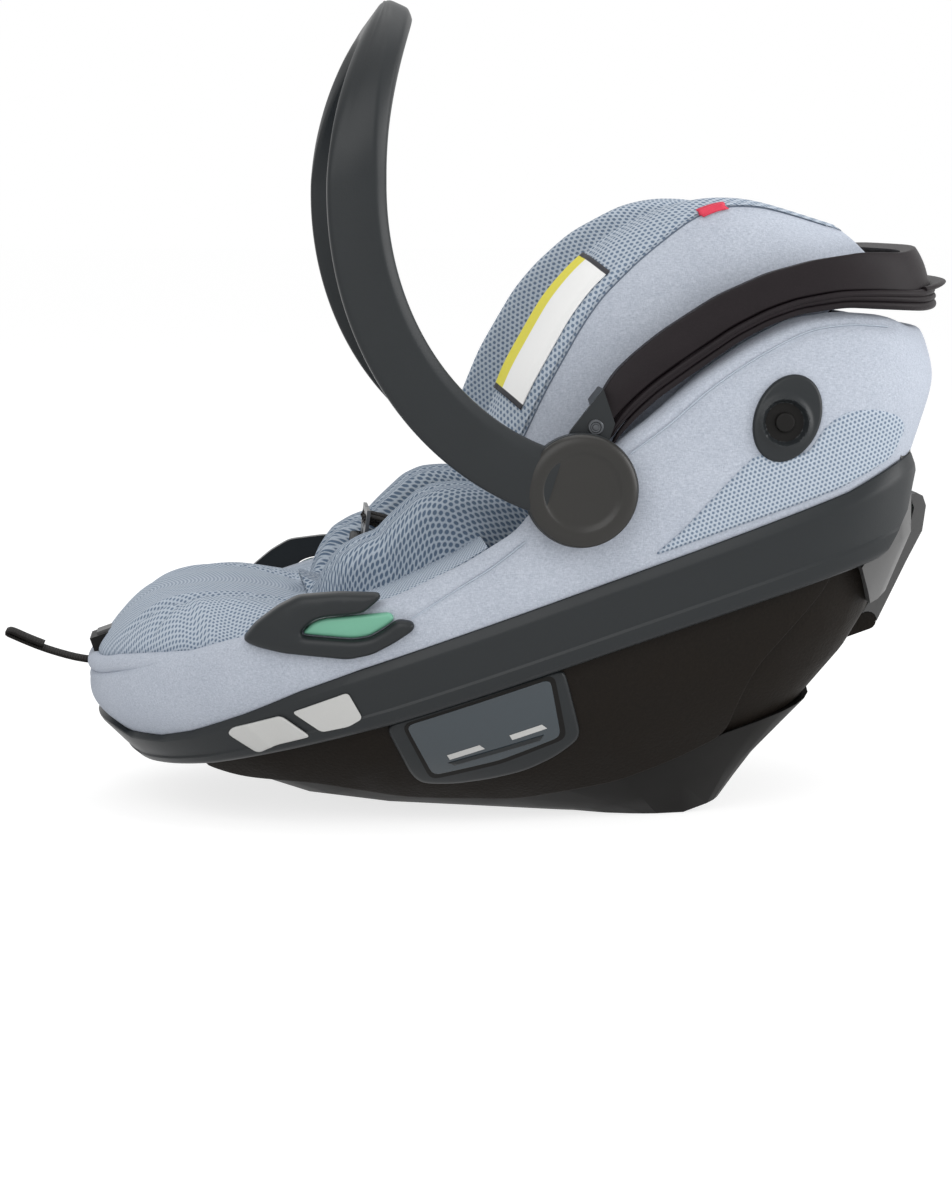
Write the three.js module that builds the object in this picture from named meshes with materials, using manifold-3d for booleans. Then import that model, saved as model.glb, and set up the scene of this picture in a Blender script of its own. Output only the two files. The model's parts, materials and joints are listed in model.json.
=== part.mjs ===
// Infant carrier: a moulded baby shell with cloth cover, pads, headrest, folded canopy and carry handle.
// The seat is drawn in its own frame, with the handle axle as origin, +X to the head end, +Y to the right
// side and +Z up from the rails. The whole seat is then reclined and set on its foot.
import * as THREE from 'three';
import { mergeVertices } from 'three/addons/utils/BufferGeometryUtils.js';
import Module from 'manifold-3d';

const wasm = await Module();
wasm.setup();

// Driving sizes, in millimetres, and angles in degrees
const reclineAngle = 19;
const shellLength = 700;
const shellDepth = 290;
const footTrim = 20;
const hubHeight = shellDepth - footTrim;
const halfWidth = 194;
const gap = 0.3;
const overrun = 60;
const ringPoints = 28;
const panPoints = 22;
const roundPoints = 32;
const smallRoundPoints = 16;
const smallRadius = 10;

const rad = THREE.MathUtils.degToRad;

// Materials, one for each finish
const finish = (color, roughness, metalness = 0) => ({ color, roughness, metalness });
const cloth = finish(0xb0b9c8, 0.9);
const mesh = finish(0x8d9db1, 0.85);
const darkPlastic = finish(0x383b3f, 0.45);
const hubPlastic = finish(0x3b3a39, 0.5);
const texturedPlastic = finish(0x2c2622, 0.8);
const blackPlastic = finish(0x121110, 0.55);
const greyPlastic = finish(0x4d4d4d, 0.5);
const glossPlastic = finish(0x3f4a50, 0.15);
const greenPlastic = finish(0x7cc0a2, 0.5);
const palePlastic = finish(0xb8b8b6, 0.5);
const canopyCloth = finish(0x2b2426, 0.7);
const webbing = finish(0x151311, 0.9);
const redPlastic = finish(0xb8323a, 0.4);
const steel = finish(0x9a9da0, 0.3, 0.9);

const seat = new THREE.Group();

// Adds one named piece in the seat's own frame
function piece(name, material, shape) {
  const geometry = shape.isBufferGeometry ? shape : geometryOf(shape);
  const { color, roughness, metalness } = material;
  const part = new THREE.Mesh(geometry, new THREE.MeshStandardMaterial({ color, roughness, metalness }));
  part.name = name;
  seat.add(part);
  return part;
}

// Turns a closed geometry into a solid that can be joined and cut
function solidOf(geometry) {
  const bare = geometry.clone();
  bare.deleteAttribute('normal');
  bare.deleteAttribute('uv');
  const merged = mergeVertices(bare);
  const solid = new wasm.Manifold(new wasm.Mesh({
    numProp: 3,
    vertProperties: new Float32Array(merged.attributes.position.array),
    triVerts: new Uint32Array(merged.index.array),
  }));
  return solid;
}

// Turns a solid back into a geometry
function geometryOf(solid) {
  const net = solid.getMesh();
  const geometry = new THREE.BufferGeometry();
  const stride = net.numProp;
  const places = new Float32Array(net.numVert * 3);
  for (let i = 0; i < net.numVert; i += 1) {
    for (let k = 0; k < 3; k += 1) places[i * 3 + k] = net.vertProperties[i * stride + k];
  }
  geometry.setAttribute('position', new THREE.BufferAttribute(places, 3));
  geometry.setIndex(Array.from(net.triVerts));
  geometry.computeVertexNormals();
  return geometry;
}

const union = (solids) => solids.slice(1).reduce((whole, solid) => whole.add(solid), solids[0]);
const vec = (x, y, z) => new THREE.Vector3(x, y, z);
const mix = (a, b, t) => a + (b - a) * t;

// Closed skin through a row of flat rings with equal point counts, capped at both ends
function loft(rings) {
  const count = rings[0].length;
  const places = rings.flat().flatMap((p) => [p.x, p.y, p.z]);
  const faces = [];
  for (let j = 0; j < rings.length - 1; j += 1) {
    for (let i = 0; i < count; i += 1) {
      const a = j * count + i;
      const b = j * count + ((i + 1) % count);
      faces.push(a, b, b + count, a, b + count, a + count);
    }
  }
  for (const [ring, base, flip] of [[rings[0], 0, true], [rings.at(-1), (rings.length - 1) * count, false]]) {
    for (const [a, b, c] of capOf(ring)) faces.push(base + a, base + (flip ? c : b), base + (flip ? b : c));
  }
  const geometry = new THREE.BufferGeometry();
  geometry.setAttribute('position', new THREE.Float32BufferAttribute(places, 3));
  geometry.setIndex(faces);
  const solid = solidOf(geometry);
  if (solid.volume() > 0) return solid;
  geometry.setIndex(faces.map((v, i, all) => all[i - (i % 3) + [0, 2, 1][i % 3]]));
  return solidOf(geometry);
}

// Triangles that fill one flat ring, wound like the ring
function capOf(ring) {
  const normal = vec(0, 0, 0);
  ring.forEach((p, i) => normal.add(p.clone().cross(ring[(i + 1) % ring.length])));
  normal.normalize();
  const across = Math.abs(normal.x) < Math.SQRT1_2 ? vec(1, 0, 0) : vec(0, 1, 0);
  const first = across.cross(normal).normalize();
  const second = normal.clone().cross(first);
  const flat = ring.map((p) => new THREE.Vector2(p.dot(first), p.dot(second)));
  return THREE.ShapeUtils.triangulateShape(flat, []);
}

// Side-view outline [x, z] extruded between two places across the seat
function slab(outline, fromY, toY) {
  const shape = new THREE.Shape(outline.map(([x, z]) => new THREE.Vector2(x, z)));
  const geometry = new THREE.ExtrudeGeometry(shape, { depth: toY - fromY, bevelEnabled: false });
  geometry.rotateX(Math.PI / 2);
  geometry.translate(0, toY, 0);
  return solidOf(geometry);
}

function box(x0, x1, y0, y1, z0, z1) {
  const geometry = new THREE.BoxGeometry(x1 - x0, y1 - y0, z1 - z0);
  geometry.translate((x0 + x1) / 2, (y0 + y1) / 2, (z0 + z1) / 2);
  return solidOf(geometry);
}

// Round disc or pin across the seat, from one side place to another
function disc(radius, fromY, toY, x = 0, z = 0) {
  const corners = radius > smallRadius ? roundPoints : smallRoundPoints;
  const geometry = new THREE.CylinderGeometry(radius, radius, Math.abs(toY - fromY), corners);
  geometry.translate(x, (fromY + toY) / 2, z);
  return solidOf(geometry);
}

const mirrored = (solid) => solid.mirror([0, 1, 0]);

// Side-view points given as shares of the length and the depth
const outlineOf = (shares) => shares.map(([x, z]) => [x * shellLength, z * shellDepth]);
const farSpan = halfWidth + overrun;

// Seat body: plan outlines from the top of the wings down to the foot.
// Each row: height as a share of the depth, nose and head ends as shares of the length, half width share.
const bodyShares = [
  [0.31, -0.564, 0.383, 0.887],
  [0.172, -0.571, 0.417, 0.948],
  [0.076, -0.577, 0.433, 0.98],
  [-0.069, -0.581, 0.417, 1],
  [-0.165, -0.577, 0.391, 1],
  [-0.262, -0.54, 0.374, 0.982],
  [-0.434, -0.489, 0.351, 0.959],
  [-0.53, -0.453, 0.325, 0.927],
  [-0.628, -0.401, 0.293, 0.881],
  [-0.707, -0.337, 0.257, 0.825],
  [-0.803, -0.243, 0.194, 0.732],
  [-0.903, -0.143, 0.116, 0.639],
  [-1, -0.079, 0.063, 0.536],
];
const nosePowerShare = 2.6;
const headPowerShare = 5;
const planCentreShare = 0.6;
const railRow = 5;

// Plan ring at one height: a broad rounded nose and a squarer head end
function planRing(front, back, side, height, nosePower = nosePowerShare, headPower = headPowerShare,
  count = ringPoints) {
  const centre = mix(front, back, planCentreShare);
  return Array.from({ length: count }, (_, i) => {
    const angle = (i / count) * 2 * Math.PI;
    const c = Math.cos(angle);
    const s = Math.sin(angle);
    const power = c > 0 ? headPower : nosePower;
    const reach = c > 0 ? back - centre : centre - front;
    const x = centre + Math.sign(c) * reach * Math.abs(c) ** (2 / power);
    return vec(x, Math.sign(s) * side * Math.abs(s) ** (2 / power), height);
  });
}

// The body shrunk by an inset all round; the floor of an inset body rises with it
function body(inset) {
  return loft(bodyShares.map(([height, front, back, side], row) => planRing(
    front * shellLength + inset,
    back * shellLength - inset,
    side * halfWidth - inset,
    height * shellDepth + (row > railRow ? inset : 0),
  )));
}

// Everything under a level line that tilts with the recline, used to cut the foot flat
function underFloor(rise) {
  const reach = shellLength * 2;
  const geometry = new THREE.BoxGeometry(reach, reach, shellDepth);
  geometry.translate(0, 0, -hubHeight + rise - shellDepth / 2);
  geometry.rotateY(rad(reclineAngle));
  return solidOf(geometry);
}

// Rim of the shell in side view, from the nose to the head end
const rimShares = [
  [-0.62, -0.131], [-0.55, -0.117], [-0.506, -0.083], [-0.429, -0.088], [-0.229, -0.114], [-0.143, -0.09],
  [-0.079, -0.055], [-0.035, 0.01], [0.02, 0.052], [0.073, 0.086], [0.106, 0.11], [0.173, 0.172],
  [0.233, 0.207], [0.29, 0.224], [0.341, 0.2], [0.39, 0.148], [0.413, 0.09], [0.5, 0.02],
];
const rimLine = rimShares.map(([x, z]) => [x * shellLength, z * shellDepth]);

// Solid below the rim line, lowered by a drop
function belowRim(drop) {
  const line = rimLine.map(([x, z]) => [x, z - drop]);
  const left = line[0][0] - overrun;
  const right = line.at(-1)[0] + overrun;
  const low = -shellDepth - overrun;
  return slab([[left, low], [right, low], [right, line.at(-1)[1]], ...line.toReversed(), [left, line[0][1]]],
    -farSpan, farSpan);
}

// Band of the seat between two heights
function band(low, high) {
  return box(-shellLength, shellLength, -farSpan, farSpan, low, high);
}

// Layers, from the outside in
const coverThickness = 6;
const shellWall = 4;
const panelThickness = 3;
const railProud = 8;
const railBevel = 6;
const railTopShare = -0.262;
const railBottomShare = -0.438;
const railTop = railTopShare * shellDepth;
const railBottom = railBottomShare * shellDepth;
const hemTuck = 9;

// Seat pan: the inner bucket, drawn by its plan outlines like the body
const panShares = [
  [0.3, -0.53, 0.38, 0.8],
  [0.1, -0.53, 0.372, 0.88],
  [-0.07, -0.522, 0.219, 0.887],
  [-0.207, -0.414, 0.111, 0.866],
  [-0.328, -0.321, 0.017, 0.8],
  [-0.431, -0.236, -0.043, 0.7],
];
const panWall = 4;
const panSlopeShare = 1.9;
const panNosePowerShare = 3;
const panHeadPowerShare = 4;
const panLip = 3;
const panLipDrop = 14;

// The bucket grown outward by an amount; its slopes shift further than its sides
function bucket(grow) {
  return loft(panShares.map(([height, front, back, side], row) => planRing(
    front * shellLength - grow * panSlopeShare,
    back * shellLength + grow * panSlopeShare,
    side * halfWidth + grow,
    height * shellDepth - (row > 1 ? grow : 0),
    panNosePowerShare,
    panHeadPowerShare,
    panPoints,
  )));
}

// Hub stack on each side, from the shell outward
const hubBaseRadius = 36;
const hubBaseProud = 5.5;
const armThickness = 4;
const handleDiscThickness = 12;
const capThickness = 6;
const capRadius = 42;
const pinRadius = 9;
const capEdgeShare = 0.55;
const capRimShares = [0.9, 0.68];
const capDishShare = 0.62;
const capDishFloorShares = [0.75, 0.7];
const hubBaseFace = halfWidth + hubBaseProud;
const armFace = hubBaseFace + gap + armThickness;
const handleFace = armFace + gap + handleDiscThickness;

// Oval socket in each wing
const [[socketX, socketZ]] = outlineOf([[0.2371, -0.0069]]);
const socketLong = 33;
const socketShort = 24;
const socketTiltAngle = 38;
const socketProud = 3;
const socketBore = 15;
const socketDepth = 14;
const studRadius = 7;

function ovalPrism(long, short, fromY, toY) {
  const shape = new THREE.Shape();
  shape.absellipse(0, 0, long, short, 0, 2 * Math.PI, false, 0);
  const settings = { depth: toY - fromY, bevelEnabled: false, curveSegments: smallRoundPoints - 2 };
  const geometry = new THREE.ExtrudeGeometry(shape, settings);
  geometry.rotateX(Math.PI / 2);
  geometry.rotateY(-rad(socketTiltAngle));
  geometry.translate(socketX, toY, socketZ);
  return solidOf(geometry);
}

const sides = [['left', -1], ['right', 1]];
const onSide = (solid, side) => (side > 0 ? mirrored(solid) : solid);

// Skin of the body between two insets
const skin = (outer, inner) => body(outer).subtract(body(inner));

// Rail, frame and panel outlines in side view
const railEndShares = [[0.267, -0.46], [0.347, -0.29], [0.352, -0.17]];
const frameShares = [[0.36, -0.17], [0.5, -0.17], [0.5, -0.575], [0.271, -0.575]];
const [[, frameTopShare], , [, frameBottomShare]] = frameShares;
const frameProud = 5;
const panelShares = [
  [-0.5, -0.4], [0.223, -0.4], [0.223, -0.483], [0.126, -0.624], [0.096, -0.707], [0.073, -0.786],
  [-0.04, -0.814], [-0.171, -0.779], [-0.286, -0.676], [-0.374, -0.552], [-0.5, -0.43],
];
const trayEdgeShares = [
  [-0.5, -0.43], [-0.374, -0.552], [-0.286, -0.676], [-0.171, -0.779], [-0.04, -0.814], [0.073, -0.786],
  [0.4, -0.79],
];
const panelInnerSide = 70;
const adapterShares = [
  [-0.28, -0.446], [-0.084, -0.446], [-0.083, -0.638], [-0.103, -0.672], [-0.186, -0.69], [-0.274, -0.63],
];
const adapterWindowShares = [[-0.264, -0.465], [-0.099, -0.465], [-0.101, -0.597], [-0.24, -0.593]];
const adapterProud = 3;
const adapterPaneInset = 4;
const capShares = [
  [-0.443, -0.328], [-0.437, -0.321], [-0.386, -0.324], [-0.361, -0.403], [-0.404, -0.39], [-0.423, -0.407],
];
const capProud = 3;

const inner = body(coverThickness);
const outerTight = body(-gap);
const shellOuter = body(coverThickness + gap);
const shellInner = body(coverThickness + gap + shellWall);
const bucketHollow = bucket(0);

// Rear release pivot, used by the shell's lugs and by the paddle
const releaseHalf = 62;
const [releasePivot] = outlineOf([[0.2843, -0.6862]]);
const releasePinRadius = 3;
const releaseKnuckle = 7;
const releaseLugWidth = 8;
const lugRoot = 30;

// Seat shell: outer tub cut by the rim and the floor
function seatShell() {
  const tub = shellOuter.subtract(underFloor(panelThickness + gap)).intersect(belowRim(gap + coverThickness));
  const hollow = shellInner.subtract(underFloor(panelThickness + gap + shellWall));
  const bores = sides.map(([, side]) => onSide(ovalPrism(
    socketLong - socketProud,
    socketShort - socketProud,
    -farSpan,
    -halfWidth / 2,
  ), side));
  const [pivotX, pivotZ] = releasePivot;
  const lugs = sides.map(([, side]) => onSide(
    disc(releaseKnuckle, -releaseHalf, -releaseHalf + releaseLugWidth, pivotX, pivotZ).add(box(
      pivotX - lugRoot,
      pivotX,
      -releaseHalf,
      -releaseHalf + releaseLugWidth,
      pivotZ - releaseKnuckle,
      pivotZ + releaseKnuckle,
    )),
    side,
  ));
  const pin = disc(releasePinRadius, -releaseHalf, releaseHalf, pivotX, pivotZ);
  return tub.add(union([...lugs, pin])).subtract(hollow).subtract(union(bores));
}
piece('seat_shell', texturedPlastic, seatShell());

// Seat pan with a lip that rests against the shell under the rim
function seatPan() {
  const wall = bucket(panWall).subtract(bucketHollow).intersect(belowRim(gap + coverThickness));
  const lipTop = coverThickness + panLipDrop;
  const lip = body(coverThickness + shellWall + 3 * gap).subtract(bucketHollow)
    .intersect(belowRim(lipTop)).subtract(belowRim(lipTop + panLip));
  return wall.add(lip);
}
piece('seat_pan', darkPlastic, seatPan());

// Cloth cover round the nose, the sides and the wings, with its rolled edge over the rim
function outerCover() {
  const wall = body(0).subtract(inner).intersect(belowRim(0));
  const roll = body(0).subtract(bucket(panWall)).intersect(belowRim(0)).subtract(belowRim(coverThickness));
  const holes = sides.flatMap(([, side]) => [
    onSide(disc(hubBaseRadius + gap, -farSpan, -halfWidth / 2), side),
    onSide(ovalPrism(socketLong - socketProud, socketShort - socketProud, -farSpan, -halfWidth / 2), side),
  ]);
  return wall.add(roll).intersect(band(railTop - hemTuck, shellDepth)).subtract(union(holes));
}
piece('outer_cover', cloth, outerCover());

// Plan outline of the body at any height, moved outward
function ringAt(height, proud) {
  const rows = bodyShares.map(([z, ...rest]) => [z * shellDepth, ...rest]);
  const next = rows.findIndex(([z]) => z <= height);
  const [above, below] = [rows[next - 1], rows[next]];
  const t = (height - above[0]) / (below[0] - above[0]);
  const [front, back, side] = [1, 2, 3].map((k) => mix(above[k], below[k], t));
  return planRing(front * shellLength - proud, back * shellLength + proud, side * halfWidth + proud, height);
}

// Side rails: bevelled bands that clip over the hem of the cover
const railEnd = outlineOf(railEndShares);
const railFront = -shellLength;
function railBand() {
  const edge = railProud - railBevel;
  return loft([
    ringAt(railTop, edge),
    ringAt(railTop - railBevel, railProud),
    ringAt(railBottom + railBevel, railProud),
    ringAt(railBottom, edge),
  ]);
}
const underHem = outerTight.intersect(band(railTop - hemTuck - gap, shellDepth)).add(inner);
for (const [name, side] of sides) {
  const [, railHigh] = railEnd.at(-1);
  const outline = [[railFront, railBottom - overrun], ...railEnd, [railFront, railHigh]];
  const reach = slab(outline, -farSpan, -gap / 2);
  piece(`side_rail_${name}`, darkPlastic, onSide(railBand().subtract(underHem).intersect(reach), side));
}

// Rear frame between the rails
const frameLine = railEnd.map(([x, z]) => [x + 3 * gap, z]);
const rearFrame = loft([
  ringAt(frameTopShare * shellDepth, 0),
  ringAt(railTop, frameProud),
  ringAt(railBottom, frameProud),
  ringAt(frameBottomShare * shellDepth, 0),
]).subtract(underHem).intersect(slab([...frameLine, ...outlineOf(frameShares)], -farSpan, farSpan));
piece('rear_frame', greyPlastic, rearFrame);

// Textured side panels with a window for the adapter socket
const adapterOuter = outlineOf(adapterShares);
const panelSkin = skin(coverThickness - panelThickness, coverThickness)
  .intersect(band(-shellDepth, railBottom - gap));
const cornerReachShare = 2;
const grown = (outline, grow) => {
  const count = outline.length;
  const middle = outline.reduce(([x, z], [px, pz]) => [x + px / count, z + pz / count], [0, 0]);
  return outline.map(([x, z]) => {
    const out = new THREE.Vector2(x - middle[0], z - middle[1]).setLength(grow * cornerReachShare);
    return [x + out.x, z + out.y];
  });
};
for (const [name, side] of sides) {
  const solid = panelSkin
    .intersect(slab(outlineOf(panelShares), -farSpan, -panelInnerSide))
    .subtract(slab(grown(adapterOuter, gap), -farSpan, 0))
    .subtract(rearFrame);
  piece(`side_panel_${name}`, texturedPlastic, onSide(solid, side));
}

// Smooth tray under the shell, flat where it stands
const trayEdge = outlineOf(trayEdgeShares).map(([x, z]) => [x, z - 2 * gap]);
const tray = body(coverThickness - panelThickness).subtract(underFloor(0))
  .subtract(inner.subtract(underFloor(panelThickness)))
  .intersect(slab([...trayEdge, [trayEdge.at(-1)[0], -2 * shellDepth], [trayEdge[0][0], -2 * shellDepth]],
    -farSpan, farSpan));
piece('base_tray', blackPlastic, tray);

// Adapter sockets: a raised frame round a recessed glossy pane
for (const [name, side] of sides) {
  const window = outlineOf(adapterWindowShares);
  const frame = skin(-adapterProud, coverThickness).intersect(slab(adapterOuter, -farSpan, -panelInnerSide))
    .subtract(slab(window, -farSpan, 0));
  piece(`adapter_frame_${name}`, darkPlastic, onSide(frame, side));
  const pane = skin(adapterPaneInset, coverThickness)
    .intersect(slab(grown(window, -gap), -farSpan, -panelInnerSide));
  piece(`adapter_pane_${name}`, glossPlastic, onSide(pane, side));
}

// Light cap on the near rail
const straightBand = (proud) => loft([ringAt(railTop, proud), ringAt(railBottom, proud)]);
piece('rail_cap', palePlastic, straightBand(railProud + capProud).subtract(straightBand(railProud + gap))
  .intersect(slab(outlineOf(capShares), -farSpan, 0)));

// Belt guides: hooks on the rim, open toward the head end, with a green insert in the throat
const guideShares = [
  [-0.394, -0.093], [-0.374, -0.062], [-0.346, -0.038], [-0.32, -0.028], [-0.279, -0.052], [-0.237, -0.09],
  [-0.239, -0.103], [-0.261, -0.124], [-0.303, -0.1], [-0.316, -0.1], [-0.331, -0.117], [-0.331, -0.131],
  [-0.28, -0.183], [-0.263, -0.19], [-0.243, -0.179], [-0.229, -0.166], [-0.213, -0.186], [-0.216, -0.207],
  [-0.241, -0.224], [-0.267, -0.234], [-0.293, -0.228], [-0.357, -0.159], [-0.383, -0.121],
];
const insertShares = [
  [-0.329, -0.121], [-0.316, -0.104], [-0.303, -0.104], [-0.262, -0.128], [-0.233, -0.145], [-0.232, -0.165],
  [-0.243, -0.175], [-0.263, -0.186], [-0.28, -0.179], [-0.329, -0.128],
];
const guideProud = 12;
const insertProud = 4;
for (const [name, side] of sides) {
  const guide = skin(-guideProud, -gap).intersect(slab(outlineOf(guideShares), -farSpan, 0));
  piece(`belt_guide_${name}`, darkPlastic, onSide(guide, side));
  const insert = skin(-insertProud, -gap).intersect(slab(outlineOf(insertShares), -farSpan, 0));
  piece(`guide_insert_${name}`, greenPlastic, onSide(insert, side));
}

// Oval side sockets: a flanged cup through the wing, with a stud on its floor
const socketFloor = 3;
for (const [name, side] of sides) {
  const flange = ovalPrism(socketLong, socketShort, -farSpan, -halfWidth / 2)
    .intersect(skin(-socketProud, -gap));
  const cupDepth = halfWidth - socketDepth;
  const neckInset = socketProud + gap;
  const neck = ovalPrism(socketLong - neckInset, socketShort - neckInset, -halfWidth, -cupDepth)
    .intersect(body(-socketProud));
  const bore = disc(socketBore, -farSpan, -cupDepth - socketFloor, socketX, socketZ);
  piece(`side_socket_${name}`, darkPlastic, onSide(flange.add(neck).subtract(bore), side));
  const stud = disc(studRadius, -halfWidth, -cupDepth - socketFloor - gap, socketX, socketZ);
  piece(`socket_stud_${name}`, blackPlastic, onSide(stud, side));
}

// Points of a table [x, z] read at one place
function along(table, x) {
  const next = table.findIndex(([place]) => place >= x);
  if (next === 0) return table[0][1];
  if (next < 0) return table.at(-1)[1];
  const [[x0, z0], [x1, z1]] = [table[next - 1], table[next]];
  return mix(z0, z1, (x - x0) / (x1 - x0));
}

// Solid swept along a path; each ring lies across the path and its first axis points outward
function sweep(path, outAt, sectionAt) {
  return loft(path.map((place, i) => {
    const tangent = path[Math.min(i + 1, path.length - 1)].clone().sub(path[Math.max(i - 1, 0)]).normalize();
    const guide = outAt(i);
    const out = guide.clone().addScaledVector(tangent, -guide.dot(tangent)).normalize();
    const up = tangent.clone().cross(out);
    return sectionAt(i).map(([a, b]) => place.clone().addScaledVector(out, a).addScaledVector(up, b));
  }));
}

// Handle: a flat leg on each side that curls forward from the hub and arches over the seat
const handleReach = 386;
const handleRootAngle = 60.7;
const handleTipAngle = 2;
const legWidth = 50;
const gripWidth = 33;
const legThickness = 13;
const legClearance = 5;
const handleSpan = armFace + legClearance + legThickness / 2;
const gripThickness = 22;
const archRadius = 95;
const legLeanShare = 0.035;
const handleSteps = 34;
const rootReach = 22;
const edgeShare = 0.35;

// Place on the handle centreline, t from 0 at the left hub to 1 at the right hub
function handlePlace(t) {
  const legLength = handleReach - archRadius - rootReach;
  const across = handleSpan * 2 - archRadius * 2;
  const quarter = archRadius * Math.PI / 2;
  const half = legLength + quarter + across / 2;
  const run = Math.min(t, 1 - t) * 2 * half;
  let reach;
  let side;
  let turn;
  if (run < legLength) {
    [reach, side, turn] = [rootReach + run, handleSpan, 0];
  } else if (run < legLength + quarter) {
    turn = (run - legLength) / archRadius;
    reach = handleReach - archRadius + archRadius * Math.sin(turn);
    side = handleSpan - archRadius + archRadius * Math.cos(turn);
  } else {
    [reach, side, turn] = [handleReach, handleSpan - archRadius - (run - legLength - quarter), Math.PI / 2];
  }
  side -= legLeanShare * (reach - rootReach) * Math.min(1, side / handleSpan * 2);
  const angle = rad(mix(handleRootAngle, handleTipAngle, reach / handleReach));
  const sign = t < 0.5 ? -1 : 1;
  return {
    place: vec(-reach * Math.sin(angle), sign * side, reach * Math.cos(angle)),
    out: vec(-Math.sin(angle) * Math.sin(turn), sign * Math.cos(turn), Math.cos(angle) * Math.sin(turn)),
    share: reach / handleReach,
    turn: turn / (Math.PI / 2),
  };
}

function handleArch() {
  const stations = Array.from({ length: handleSteps + 1 }, (_, i) => handlePlace(i / handleSteps));
  const ring = (i) => {
    const { share, turn } = stations[i];
    const half = mix(mix(legWidth, (legWidth + gripWidth) / 2, share), gripWidth, turn) / 2;
    const thick = mix(legThickness, gripThickness, turn) / 2;
    const bevel = thick * (1 - edgeShare);
    const corner = thick * edgeShare;
    return [
      [thick, -half + thick], [thick, half - thick], [bevel, half - corner], [-bevel, half],
      [-thick, half - thick], [-thick, -half + thick], [-bevel, -half], [bevel, -half + corner],
    ];
  };
  const arch = sweep(stations.map(({ place }) => place), (i) => stations[i].out, ring);
  const discs = sides.map(([, side]) => onSide(disc(capRadius - gap, -handleFace, -armFace - gap), side));
  const bores = sides.map(([, side]) => onSide(disc(pinRadius + gap, -farSpan, -halfWidth), side));
  const legRoom = sides.map(([, side]) => onSide(disc(capRadius + 2 * gap, -armFace - gap, 0), side));
  const capRoom = sides.map(([, side]) => onSide(disc(capRadius + 2 * gap, -farSpan, -handleFace), side));
  return arch.subtract(union([...legRoom, ...capRoom])).add(union(discs)).subtract(union(bores));
}

// Release button on the head side of the grip
const buttonLength = 34;
const buttonHeight = 11;
const buttonDepth = 9;
const buttonProud = 4;
const buttonTravel = 3;
const tip = handlePlace(0.5);
function gripBlock(grow, from, to) {
  const angle = rad(handleTipAngle);
  const geometry = new THREE.BoxGeometry(to - from, buttonLength + 2 * grow, buttonHeight + 2 * grow);
  geometry.translate((from + to) / 2, 0, 0);
  geometry.rotateY(-angle);
  geometry.translate(tip.place.x, tip.place.y, tip.place.z);
  return solidOf(geometry);
}
const gripEdge = gripWidth / 2;
piece('handle_arch', darkPlastic, handleArch()
  .subtract(gripBlock(gap, gripEdge - buttonDepth - buttonTravel - gap, gripEdge + overrun)));
piece('release_button', palePlastic, gripBlock(0, gripEdge - buttonDepth, gripEdge + buttonProud));

// Canopy arms on the hub
const armRingRadius = 30;
const armOutlineShares = [
  [-0.012, 0.08], [0.01, 0.15], [0.058, 0.225], [0.058, 0.13], [0.045, 0.09], [0.03, 0.0],
];
const armBlockShare = 0.043;
const canopyInset = 6;
const canopySide = halfWidth - canopyInset;
const canopyThickness = 12;
const bowThickness = 3;

// Hub parts
for (const [name, side] of sides) {
  const base = disc(hubBaseRadius, -hubBaseFace, -halfWidth / 2).subtract(inner);
  piece(`hub_base_${name}`, blackPlastic, onSide(base, side));
  const pin = disc(pinRadius, -handleFace, -hubBaseFace - gap);
  piece(`hub_pin_${name}`, steel, onSide(pin, side));
  const [rimOuter, rimInner] = capRimShares;
  const [dishEdge, dishMiddle] = capDishFloorShares;
  const capProfile = [
    [0, 0], [1, 0], [1, capEdgeShare], [rimOuter, 1], [rimInner, 1], [capDishShare, dishEdge], [0, dishMiddle],
  ];
  const dome = new THREE.LatheGeometry(
    capProfile.map(([r, h]) => new THREE.Vector2(r * capRadius, h * capThickness)),
    roundPoints,
  );
  dome.rotateZ(Math.PI);
  dome.translate(0, -handleFace - gap, 0);
  piece(`hub_cap_${name}`, hubPlastic, onSide(solidOf(dome), side));
}

// Canopy: folded round the head end, on a bow that turns with the arms about the hub
const canopyBackShare = 0.457;
const canopyBack = canopyBackShare * shellLength;
const canopyUpperShares = [
  [0.06, 0.228], [0.073, 0.259], [0.116, 0.307], [0.177, 0.352], [0.234, 0.372], [0.289, 0.376],
  [0.34, 0.355], [0.379, 0.341], [0.424, 0.303], [0.47, 0.27],
];
const canopyLowerShares = [
  [0.06, 0.118], [0.084, 0.142], [0.134, 0.194], [0.18, 0.225], [0.241, 0.262], [0.31, 0.264],
  [0.376, 0.238], [0.424, 0.2], [0.47, 0.155],
];
const bowReachShares = [0.04, 0.16, 0.3, 0.45, 0.6, 0.72, 0.82, 0.9, 0.955];
const bowSideShares = [0.56, 0.36, 0.18];
const bowHeight = 14;
const visorDepth = 16;
const visorThickness = 3;
const foldDepth = 3;
const foldShares = [[-1, 0], [0, 0.1], [-1, 0.18], [0.5, 0.26], [0.5, 0.8], [-1, 1]];
const visorSeatShare = 0.36;
const canopyUpper = outlineOf(canopyUpperShares);
const canopyLower = outlineOf(canopyLowerShares);

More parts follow.
